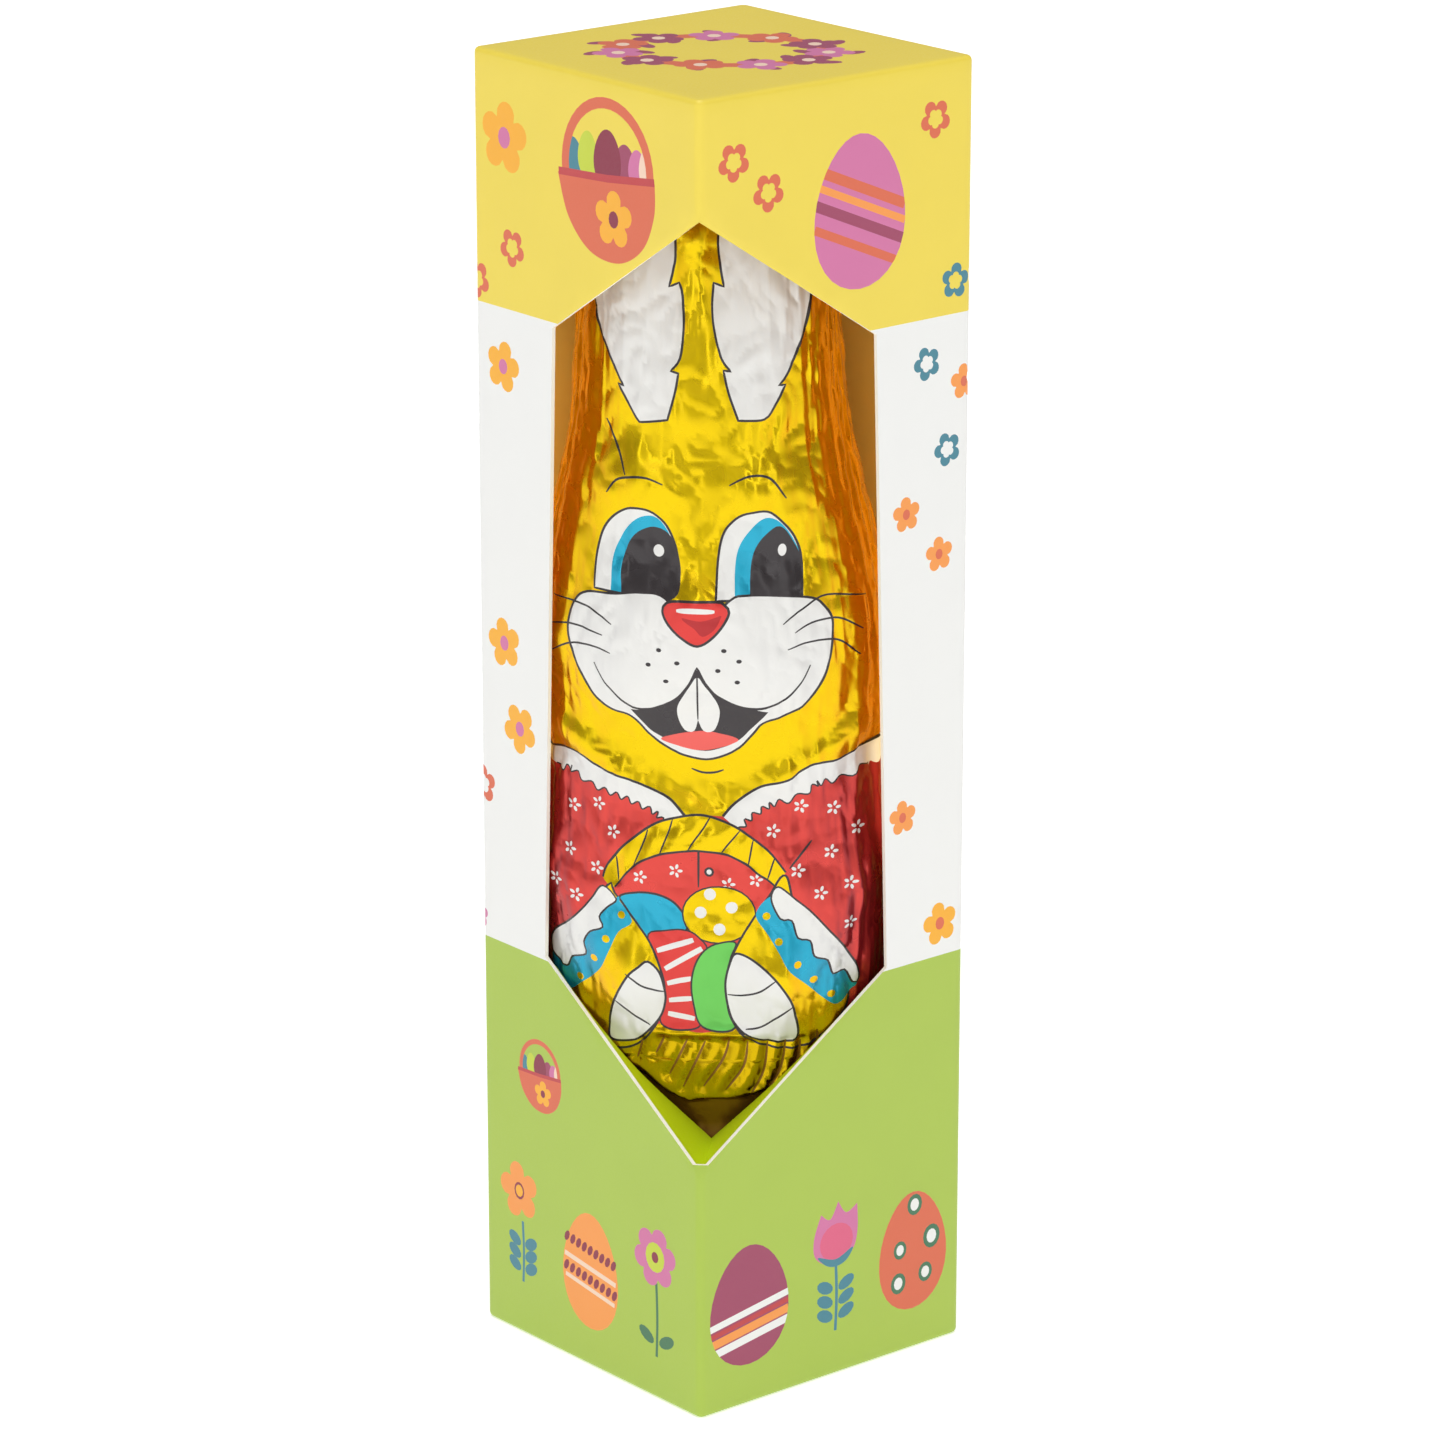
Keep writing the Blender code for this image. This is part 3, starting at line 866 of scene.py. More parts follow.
def curve_through(stations, column, height):
    """A smooth curve through one column of the body's sections."""
    heights = np.array([row[0] for row in stations])
    values = np.array([row[column] for row in stations])
    slopes = np.gradient(values, heights)
    index = np.clip(np.searchsorted(heights, height) - 1, 0, len(heights) - 2)
    span = heights[index + 1] - heights[index]
    share = (height - heights[index]) / span
    rest = 1.0 - share
    start = rest**2 * ((1.0 + 2.0 * share) * values[index] + share * span * slopes[index])
    end = share**2 * ((3.0 - 2.0 * share) * values[index + 1] - rest * span * slopes[index + 1])
    return start + end


def hill(across, height, half_width, half_height):
    return np.exp(-((across / half_width) ** 2) - (height / half_height) ** 2)


def segment_distance(x, z, start_x, start_z, end_x, end_z):
    run_x = end_x - start_x
    run_z = end_z - start_z
    share = ((x - start_x) * run_x + (z - start_z) * run_z) / (run_x**2 + run_z**2)
    share = np.clip(share, 0.0, 1.0)
    return np.hypot(x - start_x - share * run_x, z - start_z - share * run_z)


def front_relief(x, z):
    """How far the front stands out of the plain body, mirrored left to right."""
    side = np.abs(x)
    rise = np.zeros_like(x)
    for _name, place, height, half_width, half_height, amount in FRONT_BUMPS:
        rise = rise + amount * hill(side - place, z - height, half_width, half_height)
    for _name, x0, z0, x1, z1, half_width, amount in FRONT_RIDGES:
        away = segment_distance(side, z, x0, z0, x1, z1)
        rise = rise + amount * np.exp(-((away / half_width) ** 2))
    arch = np.hypot(x / HANDLE_HALF_SPAN, (z - HANDLE_MIDDLE) / HANDLE_RISE) - 1.0
    arch = arch * min(HANDLE_HALF_SPAN, HANDLE_RISE)
    upper = smooth_step(HANDLE_MIDDLE - 1.0, HANDLE_MIDDLE + 3.0, z)
    return rise + HANDLE_RELIEF * upper * np.exp(-((arch / HANDLE_HALF_WIDTH) ** 2))


def bunny_surface(angle, z, grow=0.0):
    """Points of the bunny's skin in the carton. angle is 0 at the front and a quarter turn at +X."""
    width = curve_through(BODY_SECTIONS, 1, z)
    depth = curve_through(BODY_SECTIONS, 2, z)
    over = np.clip((z - EAR_DOME_START) / (BUNNY_HEIGHT - EAR_DOME_START), 0.0, 1.0)
    dome = (1.0 - over**EAR_DOME_POWER) ** (1.0 / EAR_DOME_POWER)
    power = 2.0 / SECTION_POWER
    across = np.sign(np.sin(angle)) * np.abs(np.sin(angle)) ** power
    along = np.sign(np.cos(angle)) * np.abs(np.cos(angle)) ** power
    x = width * dome * across
    front = smooth_step(RELIEF_START, RELIEF_FULL, along)
    back = smooth_step(RELIEF_START, RELIEF_FULL, -along)
    relief = front * front_relief(x, z)
    groove = smooth_step(EAR_GROOVE_START, EAR_GROOVE_START + EAR_GROOVE_FADE, z)
    groove = groove * EAR_GROOVE_DEPTH * np.exp(-((x / EAR_GROOVE_HALF_WIDTH) ** 2))
    tail_height, tail_half_width, tail_rise = TAIL
    tail = tail_rise * hill(x, z - tail_height, tail_half_width, tail_half_width)
    relief = relief - (front + back) * groove + back * tail
    relief = relief * dome + grow
    out_x = across / width
    out_y = along / depth
    length = np.hypot(out_x, out_y)
    x = x + relief * out_x / length
    y = -depth * dome * along - relief * out_y / length
    notch = smooth_step(EAR_NOTCH_START, BUNNY_HEIGHT, z)
    notch = notch * EAR_NOTCH_DEPTH * np.exp(-((x / EAR_NOTCH_HALF_WIDTH) ** 2))
    x = x + LEAN * z / BUNNY_HEIGHT
    return np.stack([x, y, z - notch + BUNNY_BASE], axis=-1)


def skin_angle(x, z):
    """The angle round the bunny at which its front has that x."""
    share = (x - LEAN * z / BUNNY_HEIGHT) / curve_through(BODY_SECTIONS, 1, z)
    share = np.clip(share, -0.995, 0.995)
    return np.arcsin(np.sign(share) * np.abs(share) ** (SECTION_POWER / 2.0))


def folds(kind, points, shift=0.0):
    seed, across, upward, depth = kind
    return np.abs(lattice_noise(points / (across, across, upward) + shift, seed)) * depth


def creases(points, angle, z):
    """The foil's folds, in millimetres out of the skin: broad dents, sharp creases and long flutes."""
    side = np.abs(np.sin(angle)) ** 2
    warp = np.stack([lattice_noise(points / WARP_CELL, seed) for seed in WARP_SEEDS], axis=1)
    bent = points + WARP_REACH * warp
    ringed = np.stack([np.cos(angle) * SKIN_RADIUS, np.sin(angle) * SKIN_RADIUS, z], axis=1)
    dents = folds(BROAD_CREASES, bent) + folds(SHARP_CREASES, bent)
    flutes = folds(FLUTES, ringed, 0.25 * warp) + folds(THREADS, ringed, 0.3 * warp)
    return dents - (FLUTES_IN_FRONT + (1.0 - FLUTES_IN_FRONT) * side) * flutes


def distance_to_lines(x, z, lines):
    """How far each point lies from the nearest of some lines, each a row of points."""
    nearest = np.full(len(x), np.inf)
    for line in lines:
        for start, end in zip(line, line[1:]):
            nearest = np.minimum(nearest, segment_distance(x, z, *start, *end))
    return nearest


def woven_relief(x, z):
    """The basket's strands, rim and foot and the handle's twists, from places on the drawing.

    The second result is the share of the foil's creases that is left there.
    """
    strands = np.exp(-((distance_to_lines(x, z, WEAVE) / STRAND_GROOVE) ** 2))
    foot_top = np.interp(x, [p[0] for p in FOOT_TOP], [p[1] for p in FOOT_TOP])
    above = z - foot_top
    across = smooth_step(WOVEN_REACH, WOVEN_REACH - WOVEN_FADE, np.abs(x))
    below_rim = smooth_step(BASKET_RIM_HEIGHT, BASKET_RIM_HEIGHT - 1.4, z)
    body = across * smooth_step(0.0, 1.5, above) * below_rim
    ends = across * hill(0.0, above - 1.6, 1.0, 1.3)
    rim = smooth_step(BASKET_RIM_REACH, BASKET_RIM_REACH - 3.0, np.abs(x))
    rim = rim * hill(0.0, z - BASKET_RIM_HEIGHT, 1.0, 0.9)
    foot = across * smooth_step(0.7, -0.5, above) * smooth_step(-7.0, -4.0, above)
    twists = np.exp(-((distance_to_lines(x, z, HANDLE_TWISTS) / TWIST_GROOVE) ** 2))
    middle, half_span, rise = DRAWN_HANDLE
    arch = np.hypot((x - middle) / half_span, (z - HANDLE_MIDDLE) / rise) - 1.0
    handle = np.exp(-((6.0 * arch) ** 4)) * smooth_step(HANDLE_MIDDLE, HANDLE_MIDDLE + 4.0, z)
    rise = BASKET_RIM_RISE * rim + STRAND_END_RISE * ends - STRAND_DEPTH * strands * body - FOOT_DEPTH * foot
    left = 1.0 - (1.0 - CREASES_LEFT_IN_WEAVE) * np.maximum(body, handle)
    return rise - TWIST_DEPTH * twists * handle, left


def skin(angle, z):
    """The foil's surface, creases and all."""
    step = 1e-3
    base = bunny_surface(angle, z)
    around = bunny_surface(angle + step, z) - base
    upward = bunny_surface(angle, z + step * SKIN_RADIUS) - base
    out = np.cross(around, upward)
    length = np.linalg.norm(out, axis=1)
    out = out / np.maximum(length, 1e-12)[:, None]
    ends = smooth_step(0.0, BASE_FADE, z) * smooth_step(0.0, TOP_FADE, BUNNY_HEIGHT - z)
    woven, left = woven_relief(base[:, 0] - LEAN * z / BUNNY_HEIGHT, z)
    front = np.cos(angle) > 0.0
    rise = creases(base, angle, z) * ends * CREASE_DEPTH * np.where(front, left, 1.0)
    rise = rise + np.where(front, woven, 0.0)
    return base + out * rise[:, None]


def skin_normals(angle, z):
    step = 2.5e-3
    around = skin(angle + step, z) - skin(angle - step, z)
    upward = skin(angle, np.minimum(z + step * SKIN_RADIUS, BUNNY_HEIGHT))
    upward = upward - skin(angle, np.maximum(z - step * SKIN_RADIUS, 0.0))
    out = np.cross(around, upward)
    length = np.linalg.norm(out, axis=1)
    good = length > 1e-9
    out[good] /= length[good][:, None]
    out[~good] = (0.0, 0.0, 1.0)
    return out


# The drawing of the bunny's print: each point is (x, height) in millimetres on the front, before it leans.

def onto_skin(drawing):
    """Carries points of the drawing straight back on to the bunny's skin."""
    drawing = np.asarray(drawing, float)
    height = np.clip(drawing[:, 1], 0.5, BUNNY_HEIGHT - 1.0)
    target_x = drawing[:, 0] + LEAN * height / BUNNY_HEIGHT
    target_z = height + BUNNY_BASE
    shift = np.zeros(len(drawing))
    for _round in range(10):
        angle = skin_angle(target_x - shift, height)
        place = bunny_surface(angle, height)
        shift = np.clip(shift + 0.7 * (place[:, 0] - target_x), -2.0, 2.0)
        height = np.clip(height + 0.7 * (target_z - place[:, 2]), 0.5, BUNNY_HEIGHT - 1.0)
    return np.column_stack([angle * SKIN_RADIUS, height])


LINE = 0.35
GLINTS = (((-6.1, 128.3), 0.8, 0.9), ((11.8, 128.4), 0.62, 0.92))
NOSE_GLINT = ((-3.4, 120.0), (-0.8, 120.2), (2.2, 120.1))
TOOTH_GAP = ((-0.5, 110.6), (-0.6, 103.0))
COAT_SEAM = ((-0.7, 88.0), (-0.8, 77.2))
EAR_LEFT = (
    (-16.6, 184), (-16.6, 184), (-16.4, 172), (-15.4, 162.0), (-14.0, 157.8), (-12.3, 154.0),
    (-11.2, 152.1), (-11.2, 152.1), (-12.1, 152.3), (-12.1, 152.3), (-9.3, 147.5), (-8.9, 147.0),
    (-4.7, 147.6), (-4.7, 147.6), (-3.6, 151.6), (-3.1, 154.4), (-3.1, 154.4), (-4.2, 154.8),
    (-4.2, 154.8), (-2.9, 156.5), (-2.4, 160.3), (-2.5, 165.5), (-3.0, 167.5), (-3.0, 167.5),
    (-4.4, 167.0), (-4.4, 167.0), (-3.8, 169.6), (-3.5, 172.5), (-3.6, 184), (-3.6, 184),
)
EAR_RIGHT = (
    (3.6, 184), (3.6, 184), (2.7, 174.1), (3.1, 170.1), (3.6, 167.1), (3.6, 167.1), (2.1, 167.5),
    (2.1, 167.5), (1.9, 163.9), (2.2, 160.5), (3.2, 156.7), (4.6, 154.9), (4.6, 154.9), (3.5, 155.0),
    (3.5, 155.0), (4.2, 151.8), (5.6, 147.7), (5.6, 147.7), (9.3, 147.8), (10.9, 149.8), (12.3, 152.6),
    (12.3, 152.6), (11.4, 152.6), (11.4, 152.6), (12.6, 154.1), (13.8, 157.0), (14.9, 160.2),
    (15.6, 163.9), (16.4, 172), (16.6, 184), (16.6, 184),
)
EYE_LEFT = (
    (-15.9, 121.8), (-15.9, 121.8), (-15.7, 126.0), (-14.6, 130.3), (-12.8, 132.9), (-10.3, 134.3),
    (-7.5, 134.1), (-5.2, 132.6), (-3.7, 129.6), (-3.0, 125.9), (-3.3, 122.5), (-5.1, 121.2),
    (-5.1, 121.2),
)
BLUE_LEFT = (
    (-13.4, 121.4), (-13.4, 121.4), (-13.0, 126.5), (-11.4, 130.5), (-9.2, 132.9), (-6.8, 133.4),
    (-5.2, 132.2), (-3.9, 129.4), (-3.3, 125.9), (-3.6, 122.5), (-5.1, 121.2), (-5.1, 121.2),
)
PUPIL_LEFT = (
    (-11.8, 121.2), (-11.8, 121.2), (-11.7, 125.3), (-10.8, 128.6), (-9.2, 130.8), (-6.8, 131.8),
    (-4.7, 131.1), (-3.5, 128.8), (-3.0, 125.9), (-3.3, 122.5), (-5.1, 121.2), (-5.1, 121.2),
)
EYE_RIGHT = (
    (2.4, 121.6), (2.4, 121.6), (2.6, 127.1), (3.3, 130.9), (4.8, 133.0), (6.8, 134.1), (9.8, 134.3),
    (12.1, 132.3), (13.8, 129.7), (14.6, 126.5), (14.7, 121.2), (14.7, 121.2),
)
BLUE_RIGHT = (
    (5.1, 121.4), (5.1, 121.4), (5.1, 126.4), (5.8, 129.5), (7.5, 131.9), (9.5, 133.3), (11.5, 132.6),
    (13.5, 129.7), (14.6, 126.5), (14.7, 121.2), (14.7, 121.2),
)
PUPIL_RIGHT = (
    (7.3, 121.4), (7.3, 121.4), (7.3, 126.1), (8.0, 128.8), (9.5, 130.8), (11.5, 132.0), (13.3, 129.7),
    (14.6, 126.5), (14.7, 121.2), (14.7, 121.2),
)
MUZZLE = (
    (-17.1, 121.0), (-12.8, 121.4), (-8.9, 122.0), (-5.1, 121.6), (-0.4, 117.0), (4.3, 121.5),
    (6.8, 122.1), (11.7, 121.8), (16.0, 121.1), (17.6, 119.9), (19.0, 117.2), (18.7, 112.5),
    (17.5, 108.4), (15.1, 105.1), (11.8, 103.4), (8.9, 102.5), (7.4, 100.7), (4.8, 98.2), (1.1, 96.6),
    (-2.3, 97.0), (-5.8, 98.7), (-8.1, 100.5), (-10.5, 103.0), (-13.5, 103.6), (-16.3, 105.5),
    (-18.0, 108.4), (-19.6, 111.9), (-20.1, 115.8), (-19.1, 119.3),
)
NOSE = (
    (-5.5, 119.7), (-4.9, 120.9), (-3.1, 121.4), (2.3, 121.5), (3.7, 120.9), (4.3, 119.8), (3.4, 117.9),
    (1.6, 115.8), (-0.4, 114.7), (-2.5, 115.7), (-4.6, 117.7),
)
NOSE_SHADE = (
    (-2.6, 119.0), (0.2, 118.6), (2.4, 119.2), (3.2, 119.4), (2.2, 117.4), (0.4, 116.2), (-0.8, 117.4),
)
SMILE = (
    (-16.2, 110.6), (-14.5, 107.8), (-11.4, 105.2), (-8.1, 104.5), (-4.4, 106.0), (-2.0, 108.3),
    (-0.5, 111.4), (-0.5, 111.4), (1.1, 108.4), (3.4, 106.3), (7.5, 104.9), (11.7, 105.9), (14.3, 108.3),
    (15.9, 111.1),
)
MOUTH = (
    (-10.5, 104.3), (-10.5, 104.3), (-8.1, 101.4), (-5.7, 99.8), (-2.3, 98.3), (1.1, 98.0), (4.8, 99.5),
    (7.4, 101.8), (9.7, 104.4), (9.7, 104.4), (7.5, 104.9), (3.4, 106.3), (1.1, 108.4), (-0.5, 111.0),
    (-0.5, 111.0), (-2.0, 108.3), (-4.4, 106.0), (-8.1, 104.5),
)
TONGUE = (
    (-6.2, 99.6), (-4.2, 100.5), (-0.3, 101.2), (2.9, 100.8), (5.3, 99.9), (2.8, 98.6), (-0.4, 98.0),
    (-3.4, 98.6),
)
TEETH = (
    (-0.5, 110.0), (-1.7, 108.3), (-3.4, 105.6), (-3.5, 103.4), (-2.6, 101.3), (-1.2, 101.2),
    (-0.6, 103.0), (-0.6, 103.0), (0.2, 101.2), (1.7, 101.3), (2.6, 103.6), (2.4, 105.8), (0.7, 108.4),
)
WHISKERS = (
    ((-13.3, 116.8), (-15.8, 118.3), (-18.6, 119.1), (-22.7, 119.1)),
    ((-14.7, 115.0), (-17.3, 115.5), (-19.9, 115.7), (-23.0, 114.8)),
    ((-13.5, 112.5), (-16.6, 113.1), (-19.9, 112.7), (-22.7, 110.8)),
    ((12.0, 117.6), (14.7, 119.6), (18.1, 121.2), (23.6, 119.8)),
    ((13.7, 116.2), (16.1, 117.4), (19.8, 117.5), (23.1, 115.0)),
    ((12.7, 113.8), (15.8, 114.6), (19.8, 114.2), (22.8, 111.2)),
)
WHISKER_SPOTS = (
    (-6.1, 113.9), (-7.7, 111.6), (-3.4, 112.1), (-5.1, 109.2), (3.5, 114.1), (5.7, 112.5), (2.6, 111.1),
    (5.4, 109.3),
)
# Both brows, the line over the left one, the chin and a fold of the sleeve.
BROWS = (
    ((-13.9, 136.2), (-12.5, 138.2), (-10.3, 138.9), (-7.8, 139.0), (-5.4, 138.2)),
    ((4.3, 138.3), (7.2, 139.6), (10.2, 139.2), (12.5, 136.1)),
    ((-11.0, 139.1), (-12.2, 143.0), (-14.0, 146.8)),
    ((-1.8, 95.0), (-0.2, 94.4), (1.6, 94.5), (3.0, 95.0)), ((12.6, 80.0), (14.4, 82.2), (15.8, 83.8)),
)
COLLAR_LEFT = (
    (-23.2, 95.4), (-19.8, 95.9), (-16.1, 94.2), (-11.1, 93.0), (-7.2, 91.6), (-4.8, 90.3), (-2.8, 88.1),
)
COLLAR_RIGHT = (
    (2.9, 88.1), (4.7, 90.1), (8.4, 92.5), (12.4, 93.4), (15.7, 95.3), (19.9, 95.6), (22.5, 96.7),
)
HANDLE_OUTER = (
    (-15.3, 77.5), (-14.7, 79.4), (-12.2, 82.6), (-7.9, 86.2), (-3.8, 87.8), (-0.4, 88.1), (3.0, 87.4),
    (6.0, 85.8), (9.7, 82.8), (12.1, 79.5),
)
HANDLE_INNER = (
    (10.6, 77.3), (8.3, 79.1), (5.7, 81.2), (3.0, 82.4), (-0.7, 82.8), (-4.8, 82.5), (-9.0, 81.0),
    (-11.5, 78.9), (-13.5, 76.3),
)
HANDLE_TWISTS = (
    ((-13.0, 77.4), (-13.4, 81.0)), ((-10.6, 80.0), (-8.4, 85.6)), ((-6.6, 82.0), (-4.6, 87.4)),
    ((-2.4, 82.8), (1.0, 87.8)), ((2.6, 82.5), (5.4, 86.0)), ((6.6, 80.6), (7.4, 84.6)),
    ((9.4, 78.3), (10.6, 81.8)),
)
ARM_LEFT = (
    (-14.6, 76.4), (-13.5, 75.4), (-10.9, 71.9), (-8.5, 68.9), (-6.8, 65.1), (-6.0, 61.3), (-6.9, 56.5),
    (-10.5, 51.8), (-15.5, 51.0), (-20.0, 54.0), (-23.5, 58.0), (-23.5, 62.0), (-19.0, 68.0),
)
ARM_RIGHT = (
    (12.1, 79.0), (9.6, 75.8), (7.2, 72.4), (4.8, 68.2), (3.4, 63.9), (3.8, 57.0), (7.5, 53.0),
    (14.0, 51.6), (18.3, 54.2), (20.8, 57.6), (20.0, 62.0), (14.0, 72.0),
)
CUFF_LEFT = (
    (-15.3, 76.2), (-13.3, 74.3), (-14.8, 72.8), (-15.9, 71.3), (-15.4, 69.8), (-17.6, 68.6),
    (-18.6, 66.6), (-18.4, 64.6), (-20.6, 63.4), (-21.7, 61.4), (-23.8, 62.8), (-23.7, 66.1),
    (-20.0, 70.4), (-17.3, 73.8),
)
BAND_LEFT = (
    (-13.3, 74.6), (-12.8, 74.1), (-10.9, 71.2), (-13.0, 69.4), (-14.5, 66.3), (-16.0, 63.1),
    (-18.7, 60.1), (-21.8, 57.7), (-23.8, 59.8), (-23.6, 63.4), (-19.0, 69.0),
)
CUFF_RIGHT = (
    (11.0, 77.3), (13.6, 75.1), (17.1, 71.4), (20.0, 67.2), (22.0, 62.9), (22.3, 60.6), (21.5, 60.2),
    (20.4, 62.6), (18.6, 62.6), (18.0, 65.0), (16.1, 66.2), (15.6, 68.6), (13.8, 69.2), (12.9, 71.8),
    (11.2, 72.2), (9.9, 75.4),
)
BAND_RIGHT = (
    (9.9, 75.8), (7.6, 73.1), (9.5, 69.8), (11.2, 66.9), (12.4, 64.6), (14.7, 62.2), (17.3, 58.9),
    (19.2, 57.5), (21.3, 59.2), (21.8, 61.0), (17.0, 69.0), (12.0, 75.0),
)
BAND_DOTS = (
    (-12.5, 72.0), (-14.9, 68.1), (-16.9, 64.6), (-19.4, 60.6), (9.2, 72.7), (11.0, 68.8), (13.8, 65.2),
    (16.0, 62.4), (18.3, 59.4),
)
PAW_LEFT = (
    (-8.5, 65.5), (-6.8, 64.0), (-6.0, 61.2), (-6.0, 59.1), (-6.9, 56.5), (-9.7, 53.2), (-11.5, 52.3),
    (-14.6, 52.2), (-14.5, 55.8), (-13.5, 59.3), (-11.7, 62.9), (-9.9, 64.6),
)
PAW_RIGHT = (
    (4.8, 67.2), (7.5, 66.0), (10.5, 63.3), (12.4, 60.3), (13.2, 57.4), (13.4, 53.0), (9.3, 53.1),
    (6.3, 54.3), (4.3, 56.1), (3.4, 58.9), (3.1, 62.5), (3.8, 65.7),
)
TOES = (
    ((-11.9, 63.4), (-9.6, 61.8), (-7.5, 61.2), (-6.0, 61.0)),
    ((-13.6, 58.6), (-11.1, 56.9), (-8.3, 55.2)), ((3.4, 60.7), (6.1, 60.7), (8.4, 61.5), (10.6, 63.0)),
    ((6.0, 55.2), (8.3, 55.6), (10.7, 56.9), (13.0, 58.5)),
)
BASKET = (
    (-18.5, 55.0), (-14.6, 53.0), (-9.7, 53.2), (-6.9, 55.6), (-0.7, 54.6), (5.0, 55.6), (9.3, 53.1),
    (13.4, 53.0), (17.5, 55.5), (19.5, 52.0), (16.0, 45.0), (8.0, 37.0), (0.9, 34.0), (-8.0, 37.0),
    (-14.5, 44.0), (-19.0, 50.0),
)
FOOT_TOP = (
    (-18.0, 50.4), (-9.8, 47.0), (-5.7, 43.9), (-2.7, 42.7), (0.4, 43.2), (3.0, 43.4), (5.8, 43.6),
    (9.2, 44.8), (13.0, 46.6), (18.0, 50.0),
)
BASKET_FOOT = FOOT_TOP + ((12.0, 43.0), (6.0, 38.0), (0.9, 34.0), (-4.0, 37.0), (-12.0, 44.0))
EGG_BLUE = (
    (-12.8, 74.8), (-9.8, 75.8), (-6.6, 75.7), (-3.9, 74.2), (-2.6, 70.7), (-8.3, 68.8), (-10.9, 71.6),
)
EGG_RED = (
    (-8.5, 68.9), (-6.0, 70.3), (-2.6, 70.6), (-0.5, 69.4), (0.5, 67.7), (-0.6, 64.6), (-0.4, 59.0),
    (-1.1, 55.3), (-6.6, 55.6), (-6.0, 61.0),
)
EGG_GREEN = (
    (4.7, 68.8), (2.2, 68.8), (0.1, 67.7), (-1.3, 65.5), (-2.0, 62.3), (-1.7, 58.7), (-0.4, 55.4),
    (4.4, 55.4), (3.4, 61.0), (3.8, 66.0),
)
EGG_STRIPES = (
    ((-7.1, 67.2), (-1.6, 69.2)), ((-5.9, 64.5), (-0.3, 68.0)), ((-5.6, 62.3), (-2.0, 63.1)),
    ((-5.4, 59.5), (-2.0, 59.8)), ((-5.6, 57.3), (-1.6, 56.6)),
)
WEAVE = (
    ((-6.3, 53.4), (-7.7, 50.6)), ((-2.8, 53.2), (-5.7, 47.2)), ((-0.1, 53.0), (-3.6, 45.2)),
    ((3.6, 53.9), (2.6, 50.3), (-0.5, 45.4)), ((6.3, 53.0), (5.6, 48.9), (2.8, 44.9)),
    ((9.3, 52.8), (8.6, 48.1), (6.5, 44.2)), ((12.0, 52.9), (11.2, 48.6), (9.2, 45.2)),
    ((14.2, 52.6), (13.8, 50.0), (12.5, 46.8)), ((16.4, 54.0), (16.4, 51.0), (15.2, 47.6)),
    ((-9.8, 52.4), (-10.6, 49.6)),
)
COAT_FLOWERS = (
    (-19.9, 87.4), (-15.9, 88.5), (-13.6, 84.6), (-20.6, 80.7), (-16.3, 78.7), (-19.6, 74.0),
    (-23.1, 75.5), (-9.6, 78.3), (-4.2, 79.6), (3.6, 77.7), (7.7, 78.4), (10.2, 85.7), (14.2, 89.1),
    (18.9, 88.2), (22.4, 84.4), (18.5, 81.7), (13.8, 79.5), (21.4, 76.6), (17.0, 75.7), (21.3, 70.3),
)
HEM = 50.0
COLLAR_BACK = 97.5
LACE_DEPTH = 2.7
SCALLOP_LENGTH = 1.9
SCALLOP_DEPTH = 0.9
LACE_STEP = 0.25
BUTTON = (0.8, 79.6)
SPOTTED_EGG = (2.2, 73.1)
EGG_SPOTS = ((-0.5, 73.4), (4.1, 74.2), (2.3, 70.9), (0.9, 76.2))


def stamp(prints, ink, outline):
    prints.append((ink, onto_skin(outline)))


def draw(prints, ink, points, line=None):
    """Paints a drawn outline on the skin, with a dark line round it if asked."""
    curve = spline(points)
    stamp(prints, ink, curve)
    if line:
        stamp(prints, "dark", stroke(curve, line, closed=True))


def draw_line(prints, points, width=LINE, ink="dark", taper=0.5):
    stamp(prints, ink, stroke(spline(points, False), width, taper=taper))


def little_flower(prints, center, radius=0.95):
    """A coat flower: five petals with bare foil between them, laid out on the drawing."""
    for index in range(5):
        t = 2 * math.pi * index / 5 + 0.3
        spot = (center[0] + radius * 0.72 * math.sin(t), center[1] + radius * 0.72 * math.cos(t))
        stamp(prints, "white", oval(spot, radius * 0.26, radius * 0.44, -t, 7))


def scalloped(edge):
    """The lower edge of the lace that hangs from an edge which is drawn from left to right."""
    run = np.gradient(edge, axis=0)
    run = run / np.hypot(run[:, 0], run[:, 1])[:, None]
    along = np.concatenate([[0.0], np.cumsum(np.hypot(*np.diff(edge, axis=0).T))])
    drop = LACE_DEPTH + SCALLOP_DEPTH * np.sin(math.pi * along / SCALLOP_LENGTH) ** 2
    return edge + np.column_stack([run[:, 1], -run[:, 0]]) * drop[:, None]


